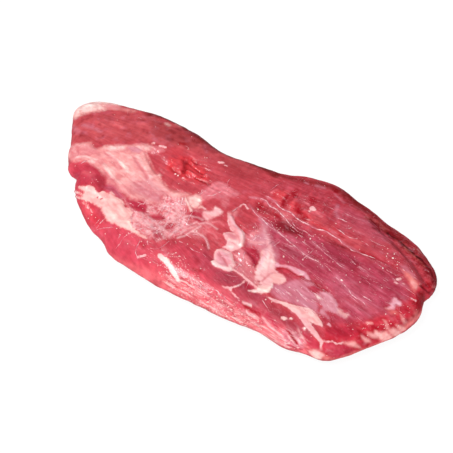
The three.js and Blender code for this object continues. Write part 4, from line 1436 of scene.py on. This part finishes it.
# %% Material helpers
def use_group(tree, group, links):
    return add_node(tree, "ShaderNodeGroup", links, node_tree=group).outputs


def new_material(name):
    """A material, its tree, the sockets of its shader, and the piece's own coordinates."""
    material = bpy.data.materials.new(name)
    material.use_nodes = True
    tree = material.node_tree
    coordinates = tree.nodes.new("ShaderNodeTexCoord").outputs["Object"]
    return material, tree, tree.nodes["Principled BSDF"].inputs, coordinates


def attribute(tree, name, output="Fac"):
    return add_node(tree, "ShaderNodeAttribute", {}, attribute_name=name).outputs[output]


# %% [markdown]
# ## The meat's finish
# One material covers the skin. It starts from the washed flesh tint, darkens and pales it along the
# fibre streaks, draws pale veins, and adds torn lace, pale sinews and dry crust where the skin's masks
# ask for them. Along the wet roll the pale sinew streaks are painted glints as well. Fat comes on top
# where the fat distance is above zero. The threshold is nudged by fine noise, so the border is crisp
# and frayed.

# %% Meat material: flesh
meat, tree, shader, coordinates = new_material("flank_meat")
muscle = use_group(tree, muscle_grain, {
    "Coordinates": coordinates, "Fibre Scale": 620.0, "Mottle Scale": 210.0})
flesh_tint = attribute(tree, "flesh", "Color")
fibrous_share = attribute(tree, "fibrous")
dark_flesh = blended(tree, 1.0, flesh_tint, (0.70, 0.52, 0.55, 1), "MULTIPLY")
bright_flesh = blended(tree, 1.0, flesh_tint, (1.20, 1.45, 1.42, 1), "MULTIPLY")
streak_side = maths(tree, "SUBTRACT", ramp(tree, muscle["Streaks"], 0.34, 0.66), 0.5)
streak_share = maths(tree, "MULTIPLY_ADD", streak_side, fibrous_share, 0.5)
colour = blended(tree, streak_share, dark_flesh, bright_flesh)
colour = blended(tree, ramp(tree, muscle["Mottle"], 0.50, 0.72, 0.0, 0.5), colour, dark_flesh)
vein_share = maths(tree, "MULTIPLY", muscle["Veins"], maths(tree, "MULTIPLY", fibrous_share, 0.45))
colour = blended(tree, vein_share, colour, solid("fat_lilac"))


# %% Meat material: lace, sinews with painted glints, and crust
def drawn_out(slowness, *settings):
    """Noise that changes slowly along the steak."""
    return noise_at(tree, scaled(tree, coordinates, (slowness, 1.0, 1.0)), *settings)


lace = off_middle(tree, drawn_out(0.6, 190.0, 3.0, 0.5, 1.2))
sinew_glint_noise = drawn_out(0.07, 640.0, 3.0, 0.55, 0.4)
crust = drawn_out(0.5, 360.0, 4.0, 0.6, 0.6)
# On the wet roll the white sinew streaks are pale sinew and painted glints both.
for tint, mask, pattern, low, high, at_low, at_high in (
        ("film_pale", "lacy", lace, 0.008, 0.075, 0.5, 0.0),
        ("fat_white", "sinew_and_glint", sinew_glint_noise, 0.55, 0.63, 0.0, 0.6),
        ("maroon", "crusty", crust, 0.48, 0.62, 0.0, 0.75)):
    strength = ramp(tree, pattern, low, high, at_low, at_high)
    colour = blended(tree, maths(tree, "MULTIPLY", strength, attribute(tree, mask)), colour, solid(tint))

# %% Meat material: fat
softness = attribute(tree, "fat_soft")
fray = maths(tree, "MULTIPLY_ADD", noise_at(tree, coordinates, 420.0, 5.0, 0.65), 2.6, -1.3)
edge_low = maths(tree, "MULTIPLY_ADD", softness, -2.2, -0.35)
edge_high = maths(tree, "MULTIPLY_ADD", softness, 2.2, 0.55)
fat_cover = ramp(tree, maths(tree, "ADD", attribute(tree, "fat"), fray), edge_low, edge_high)
see_through = maths(tree, "MULTIPLY_ADD", softness, -0.38, 0.92)
thin = ramp(tree, drawn_out(0.6, 150.0, 4.0, 0.6, 0.6), 0.32, 0.58, see_through, 1.0)
fat_cover = maths(tree, "MULTIPLY", fat_cover, thin)
fat_tint = attribute(tree, "fat_colour", "Color")
fat_low = blended(tree, 1.0, fat_tint, (0.95, 0.82, 0.84, 1), "MULTIPLY")
fat_high = blended(tree, 1.0, fat_tint, (1.04, 1.12, 1.11, 1), "MULTIPLY")
fat_streak = ramp(tree, drawn_out(0.55, 210.0, 5.0, 0.55, 0.8), 0.36, 0.62)
colour = blended(tree, fat_cover, colour, blended(tree, fat_streak, fat_low, fat_high))

# %% Meat material: wetness and fine relief
wet_share = attribute(tree, "wet")
gloss = use_group(tree, wet_gloss, {"Coordinates": coordinates, "Wet": 0.34, "Dry": 0.52})
roughness = maths(tree, "MULTIPLY_ADD", wet_share, -0.10, gloss["Roughness"])
facing = add_node(tree, "ShaderNodeLayerWeight", {"Blend": 0.5}).outputs["Facing"]
front_on = maths(tree, "SUBTRACT", 1.0, facing, clamp=True)
calm = maths(tree, "MULTIPLY_ADD", fat_cover, -0.6, 1.0)
bump = output_of(tree, "ShaderNodeBump", {
    "Strength": 0.9, "Distance": 0.0005, "Height": maths(tree, "MULTIPLY", muscle["Height"], calm)})
for label, v in {
        "Base Color": colour,
        "Roughness": maths(tree, "MULTIPLY_ADD", attribute(tree, "dry"), 0.35, roughness),
        "Coat Weight": maths(tree, "MULTIPLY", wet_share, maths(tree, "MULTIPLY", front_on, 0.9)),
        "Coat Roughness": 0.12,
        "Normal": bump,
        "Specular IOR Level": 0.07,
        "Subsurface Weight": 0.10,
        "Subsurface Radius": (1.0, 0.35, 0.25),
        "Subsurface Scale": 0.0025}.items():
    wire(tree, v, shader[label])
steak.data.materials.append(meat)

# %% [markdown]
# ## Threads of connective tissue
# Fine pale threads lie over the muscle where membranes were pulled off. Each one is a path in
# unrolled millimetres. The path is laid on the finished skin by finding the nearest skin point, and
# a Geometry Nodes tree resamples it, lets it wander a little, tapers it towards both ends and sweeps
# a small ring along it.

# %% Threads: radius mm, path
THREADS = marks("""
0.55 42,58 46,59 58,57 71,52 90,53 95,51 117,47 123,48 131,47 140,48 145,50 159,52 166,51 176,51 185,47
0.46 30,46 39,50 46,51 52,48 59,46 66,46 80,43 93,38 101,33 108,32 120,28
0.28 93,42 100,41 106,36 113,34 121,33 126,35 142,32 148,35 156,34
0.38 32,29 51,20 69,16 80,11 87,11 105,8 158,-3 179,-2 186,-6
0.28 52,21 71,22 81,17 90,11
0.55 97,10 99,9
0.33 154,-13 157,8 157,17
0.33 147,24 156,23 174,17 187,15 204,11 212,12
0.22 146,36 153,36
0.22 164,35 172,36
0.35 69,16 75,14
0.34 155,67 188,64 197,70
0.36 153,84 168,87
0.32 173,75 178,79 179,84
0.22 203,70 218,69
0.4 187,47 197,47 204,46 211,49 219,50 229,54 237,56
0.26 193,-4 199,-5 212,-10 230,-14 238,-17 243,-20 250,-21 261,-20 272,-24
0.26 245,14 260,11
0.24 253,-12 272,-12
0.28 295,29 304,28 317,31
0.25 273,93 277,95
0.25 276,83 287,74 298,67
0.25 276,66 287,64
0.3 296,64 313,62
0.34 -60,-118 -58,-123 -56,-136 -53,-141 -48,-143
0.3 -54,-111 -47,-118 -40,-122 -33,-121 -28,-117 -25,-110 -24,-94
0.3 -140,-136 -133,-121 -132,-114
0.2 -145,-134 -138,-120
0.22 -140,-138 -132,-133 -110,-122
0.4 -240,-49 -229,-34
0.26 -8,-65 9,-60 16,-62 22,-65 29,-72
0.3 -1,-85 14,-89 31,-87 40,-90
0.22 -13,-88 -4,-87
0.26 148,-105 163,-112
0.24 40,70 43,90
0.26 154,-69 194,-77
0.26 153,-80 170,-84
0.22 163,-57 176,-60 191,-66 204,-69
0.3 58,-132 74,-135
0.36 75,-126 116,-134
0.3 42,-134 61,-137 78,-141
0.28 51,-131 76,-135
0.28 37,-147 52,-150 63,-155
0.28 126,-128 138,-131 159,-131
0.34 16,-2 19,4 23,25 27,25 34,21
0.3 -47,-81 -52,-56 -50,-46
0.26 -66,-89 -41,-84 -31,-76 -23,-64
0.26 -31,-90 -35,-76 -34,-62 -30,-50 -25,-44
0.22 -73,-55 -69,-44 -61,-37 -50,-32
0.24 -88,-61 -79,-52 -67,-48 -53,-55
0.24 -65,-26 -53,-32 -43,-43 -39,-56
0.22 -95,-83 -84,-82 -70,-84 -58,-90
0.22 -72,-100 -63,-99 -50,-102
0.24 -89,-121 -91,-130 -91,-138
0.24 240,49 253,48 278,49
0.22 210,29 225,27 238,27
0.22 131,17 156,13
0.22 157,73 164,73
0.22 106,27 132,22
""")

# %% [markdown]
# Between the traced threads lie hundreds of finer ones. They are drawn by a walk that keeps its
# heading but sways a little at each step. In the torn films the walks start anywhere and point any
# way, which tangles them to lace. Over the muscle they keep to the fan of the fibres.

# %% Wandering strings: zone, how many, length mm, sway, heading, radius mm
WALKS = [
    (film_outline["lace"], 40, (8, 24), 0.14, None, (0.14, 0.30)),
    (film_outline["arc"], 14, (5, 14), 0.22, None, (0.08, 0.18)),
    (film_outline["lilac_wet"], 16, (6, 14), 0.2, None, (0.12, 0.24)),
    (film_outline["silverskin"], 22, (8, 20), 0.06, "fan", (0.12, 0.24)),
    (film_outline["column_film"], 16, (6, 14), 0.25, None, (0.14, 0.28)),
    ([(20, 40), (60, 52), (100, 44), (150, 20), (140, -20), (90, -30), (40, -5), (15, 15)],
     60, (12, 34), 0.035, "fan", (0.06, 0.12)),
    ([(-40, -58), (0, -62), (60, -60), (100, -57), (100, -64), (40, -70), (-20, -72), (-40, -68)],
     30, (8, 24), 0.03, 0.0, (0.06, 0.13)),
    ([(-150, 48), (-100, 54), (-60, 50), (0, 52), (60, 66), (100, 60), (20, 40), (-60, 30), (-140, 25)],
     24, (3, 8), 0.3, None, (0.06, 0.12)),
]
draw = np.random.default_rng(12)
wandering = []
for outline, count, lengths, sway, heading, radii in WALKS:
    box = np.array(outline)
    made = 0
    while made < count:
        spot = draw.uniform(box.min(0), box.max(0))
        if inside_distance(spot[None], outline)[0] < 0:
            continue
        way = draw.uniform(0, 2 * math.pi) if heading is None else draw.normal(0, 0.03)
        if heading == "fan":
            way += math.atan2(spot[1] - FAN_Y, spot[0] - FAN_X)
        steps = int(draw.uniform(*lengths))
        turns = way + np.cumsum(draw.normal(0, sway, steps))
        path = spot + np.cumsum(np.stack([np.cos(turns), np.sin(turns)], 1), axis=0)
        wandering.append((draw.uniform(*radii), path))
        made += 1
print("wandering strings:", len(wandering))

# %% Laying paths on the skin
finder = KDTree(POINTS)
for i in np.flatnonzero(~UNDER):
    finder.insert((flat[i, 0], flat[i, 1], 0), int(i))
finder.balance()


def on_skin(points, lift):
    """Places on the skin, and the skin's normals there, for unrolled points."""
    places, ways = [], []
    for x, y in points:
        found = finder.find_n((x, y, 0), 3)
        weights = np.array([1 / (d + 0.05) for _, _, d in found])
        weights /= weights.sum()
        picked = [i for _, i, _ in found]
        way = weights @ skin_normal[picked]
        places.append(weights @ skin_place[picked] + way * lift)
        ways.append(way)
    return np.array(places), np.array(ways)


THREAD_STEP = 0.9
PROUD_RADIUS = 0.31  # only thicker threads stand up from the skin, mm
thread_points, thread_edges, thread_radii = [], [], []
for radius, path in THREADS + wandering:
    line = rounded_path(path, 3, closed=False) if len(path) > 2 else np.array(path, float)
    length = np.linalg.norm(np.diff(line, axis=0), axis=1).sum()
    line = evenly(line, max(2, int(length / THREAD_STEP)))
    places, _ = on_skin(line, (0.2 if radius > PROUD_RADIUS else -0.1) * radius)
    start = len(thread_radii)
    thread_points.extend(places)
    thread_radii.extend([radius] * len(places))
    thread_edges.extend((start + k, start + k + 1) for k in range(len(places) - 1))
print("threads:", len(THREADS + wandering), "paths,", len(thread_radii), "points")

# %% Geometry Nodes helpers
def spread(tree, low, high, seed):
    """A random vector for each point, between two corners."""
    return output_of(tree, "FunctionNodeRandomValue", {"Min": low, "Max": high, "Seed": seed},
                data_type="FLOAT_VECTOR")


def balls_on(tree, points, turn, size, radius, subdivisions):
    """A low ball on every point."""
    ball = output_of(tree, "GeometryNodeMeshIcoSphere", {"Radius": radius, "Subdivisions": subdivisions})
    return output_of(tree, "GeometryNodeInstanceOnPoints", {
        "Points": points, "Instance": ball, "Rotation": turn, "Scale": size})


def hand_over(tree, gin, gout, geometry):
    """Ends a tree in real faces with the material on them."""
    real = output_of(tree, "GeometryNodeRealizeInstances", {"Geometry": geometry})
    coated = output_of(tree, "GeometryNodeSetMaterial", {"Geometry": real, "Material": gin["Material"]})
    wire(tree, coated, gout["Geometry"])


def apply_tree(source, tree, name, values):
    """Runs the tree on the source object and keeps the result as a plain mesh piece."""
    modifier = source.modifiers.new("make", "NODES")
    modifier.node_group = tree
    sockets = {s.name: s.identifier for s in tree.interface.items_tree if s.in_out == "INPUT"}
    for label, v in values.items():
        modifier[sockets[label]] = v
    seen = source.evaluated_get(bpy.context.evaluated_depsgraph_get())
    mesh = bpy.data.meshes.new_from_object(seen)
    mesh.name = name
    source.modifiers.remove(modifier)
    piece = linked(name, mesh)
    print(name + ":", len(mesh.vertices), "points,", len(mesh.polygons), "faces")
    return piece


# %% Thread tree
tree, gin, gout = new_tree("Lay Threads", "GeometryNodeTree", {
    "Geometry": "Geometry", "Spacing": 0.0008, "Wander": 0.00025, "Bead Scale": 420.0,
    "Ring Points": 6, "Material": "Material"}, {"Geometry": "Geometry"})
thread_tree = tree
curve = output_of(tree, "GeometryNodeMeshToCurve", {"Mesh": gin["Geometry"]})
curve = output_of(tree, "GeometryNodeResampleCurve", {"Curve": curve, "Length": gin["Spacing"]},
                  mode="LENGTH")
wobble = add_node(tree, "ShaderNodeTexNoise", {"Scale": 260.0, "Detail": 2.0}).outputs["Color"]
centred = output_of(tree, "ShaderNodeVectorMath", {0: wobble, 1: (0.5, 0.5, 0.5)}, operation="SUBTRACT")
shift = output_of(tree, "ShaderNodeVectorMath", {0: centred, "Scale": gin["Wander"]}, operation="SCALE")
curve = output_of(tree, "GeometryNodeSetPosition", {"Geometry": curve, "Offset": shift})
radius = output_of(tree, "GeometryNodeInputNamedAttribute", {"Name": "thread_radius"}, data_type="FLOAT")
factor = output_of(tree, "GeometryNodeSplineParameter", {})
both_ways = maths(tree, "MULTIPLY", factor, maths(tree, "SUBTRACT", 1.0, factor))
two_ended = maths(tree, "MULTIPLY", both_ways, 4.0)
taper = maths(tree, "POWER", maths(tree, "ADD", two_ended, 0.02), 0.45)
uneven = output_of(tree, "ShaderNodeTexNoise", {"Scale": gin["Bead Scale"], "Detail": 2.0})
beaded = ramp(tree, uneven, 0.36, 0.64, 0.40, 1.25)
thick = maths(tree, "MULTIPLY", radius, maths(tree, "MULTIPLY", taper, beaded))
ring = output_of(tree, "GeometryNodeCurvePrimitiveCircle", {"Resolution": gin["Ring Points"], "Radius": 1.0})
sweep = output_of(tree, "GeometryNodeCurveToMesh", {
    "Curve": curve, "Profile Curve": ring, "Scale": thick, "Fill Caps": True})
hand_over(tree, gin, gout, sweep)

# %% [markdown]
# ## The threads' finish
# A thread is the same tissue as the films, only gathered, so it is a pale pink that lets the flesh
# show through in places. Mottling by noise keeps a long thread from looking like a drawn line.

# %% Thread material and piece
def patchy_material(name, tints, noise_settings, low, high, wet, dry):
    """A finish that wavers between two tints and is wetter in places."""
    material, tree, shader, coordinates = new_material(name)
    patches = ramp(tree, noise_at(tree, coordinates, *noise_settings), low, high)
    wire(tree, blended(tree, patches, solid(tints[0]), solid(tints[1])), shader["Base Color"])
    gloss = use_group(tree, wet_gloss, {"Coordinates": coordinates, "Wet": wet, "Dry": dry})
    wire(tree, gloss["Roughness"], shader["Roughness"])
    return material


tissue = patchy_material("pale_tissue", ("mauve_patch", "thread_lilac"), (190.0, 3.0, 0.7),
                         0.40, 0.60, wet=0.28, dry=0.45)
thread_source = mesh_piece("thread_paths", np.array(thread_points), thread_edges, [])
point_value(thread_source, "thread_radius", np.array(thread_radii) * MM)
threads = apply_tree(thread_source, thread_tree, "tissue_threads", {
    "Spacing": 0.0008, "Wander": 0.0009, "Bead Scale": 420.0, "Ring Points": 4, "Material": tissue})
threads.data.shade_smooth()
bpy.data.objects.remove(thread_source)

# %% [markdown]
# ## Crumbs and wet glints
# Specks of fat and tiny beads of juice sit all over the cut meat, thickest along the wet front roll.
# A few traced crumbs are placed one by one. The beads are scattered by Geometry Nodes over the skin,
# with a density that the skin carries as an attribute. Both are low balls with few faces.

# %% Crumbs: radius mm, places
CRUMBS = marks("""
0.45 -209,-55 -147,-121 -156,-120 -161,-126 -103,-121 -92,-128 -82,-124 -73,-134 -118,-136 1,-85 23,-81
 -2,-109 62,-4 155,-12 170,-2 157,-77 167,-64 152,-102 161,-100 90,-135 100,-135 246,75 254,81 247,70 267,67
 288,-44 313,-24 309,-8 276,-67 299,-17 272,16 157,73 -113,67 -8,-59 -4,-56 -48,-95 -41,-92 -119,33 100,-156
 -56,-121 -50,-124 45,-111 -26,-141 192,11 220,3 242,5
0.75 46,31 129,-23 142,27 256,73 255,47 220,-9 82,-148 117,-153 -97,14 -92,14 222,-107
""")

# %% Zones of wet beads: beads per square cm, softness mm, outline
WET_ZONES = marks("""
32 3 -15,-135 -7,-111 9,-104 25,-111 44,-124 65,-128 128,-132 161,-135 173,-143 153,-165 118,-171 82,-173
 45,-172 17,-155 -5,-146
30 2 -12,-135 3,-130 26,-143 14,-149 -5,-146
10 4 65,-63 97,-57 121,-81 96,-85
2 5 -91,-130 -57,-100 -6,-69 23,-72 -17,-104 -50,-133 -76,-140
5 5 235,79 257,93 287,77 277,58 251,59
5 5 280,-54 313,-14 314,25 328,28 332,-19 308,-64
4 6 32,43 104,57 167,42 180,-5 107,0 56,11
""")

# %% Density of the beads
BEADS_ELSEWHERE = 0.25
PER_SQUARE_METRE = 1e4
beads = np.zeros(POINTS)
for density, soft, outline in WET_ZONES:
    near, distance = measured(None, outline, soft + 1)
    raise_to(beads, near, density * smooth(distance, -soft, soft))
beads = np.maximum(beads, BEADS_ELSEWHERE * ~UNDER)
point_value(steak, "bead_density", beads * PER_SQUARE_METRE)

# %% Bead tree and piece
tree, gin, gout = new_tree("Scatter Beads", "GeometryNodeTree", {
    "Geometry": "Geometry", "Radius": 0.0002, "Seed": 5, "Material": "Material"}, {"Geometry": "Geometry"})
density = output_of(tree, "GeometryNodeInputNamedAttribute", {"Name": "bead_density"}, data_type="FLOAT")
scatter = add_node(tree, "GeometryNodeDistributePointsOnFaces", {
    "Mesh": gin["Geometry"], "Density": density, "Seed": gin["Seed"]}).outputs
size = spread(tree, (0.5, 0.5, 0.35), (1.7, 1.2, 0.6), 9)
hand_over(tree, gin, gout, balls_on(tree, scatter["Points"], scatter["Rotation"], size, gin["Radius"], 1))

# The beads' pale finish makes them painted glints as much as beads of juice. The crumbs share it as specks
# of fat.
crumb_and_glint_finish = patchy_material("glinting_wet_beads", ("fat_pink", "fat_white"), (700.0, 2.0),
                        0.30, 0.45, wet=0.12, dry=0.30)
bead_piece = apply_tree(steak, tree, "glinting_wet_beads", {"Radius": 0.0003, "Seed": 5, "Material": crumb_and_glint_finish})

# %% Crumb tree and piece
CRUMB_LIFT = 0.1
tree, gin, gout = new_tree("Place Crumbs", "GeometryNodeTree", {
    "Geometry": "Geometry", "Material": "Material"}, {"Geometry": "Geometry"})
radius = output_of(tree, "GeometryNodeInputNamedAttribute", {"Name": "crumb_radius"}, data_type="FLOAT")
spots = output_of(tree, "GeometryNodeMeshToPoints", {"Mesh": gin["Geometry"]})
stretch = spread(tree, (0.8, 0.7, 0.5), (1.4, 1.1, 0.7), 3)
size = output_of(tree, "ShaderNodeVectorMath", {0: stretch, "Scale": radius}, operation="SCALE")
turn = spread(tree, (-0.5, -0.5, 0.0), (0.5, 0.5, 6.2), 4)
hand_over(tree, gin, gout, balls_on(tree, spots, turn, size, 1.0, 2))

crumb_places, crumb_radii = [], []
for radius_mm, spots_mm in CRUMBS:
    places, _ = on_skin(spots_mm, CRUMB_LIFT)
    crumb_places.extend(places)
    crumb_radii.extend([radius_mm] * len(places))
crumb_source = mesh_piece("crumb_spots", np.array(crumb_places), [], [])
point_value(crumb_source, "crumb_radius", np.array(crumb_radii) * MM)
crumbs = apply_tree(crumb_source, tree, "fat_crumbs", {"Material": crumb_and_glint_finish})
crumbs.data.shade_smooth()
bpy.data.objects.remove(crumb_source)

# %% [markdown]
# ## Handing the pieces to the frame
# The skin stands for the solid steak, which stays only for collision. All pieces ride on the one
# body.

# %% Pieces on the body, and the solid steak hidden
for piece in (steak, threads, bead_piece, crumbs):
    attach(piece, "root")
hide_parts("steak")
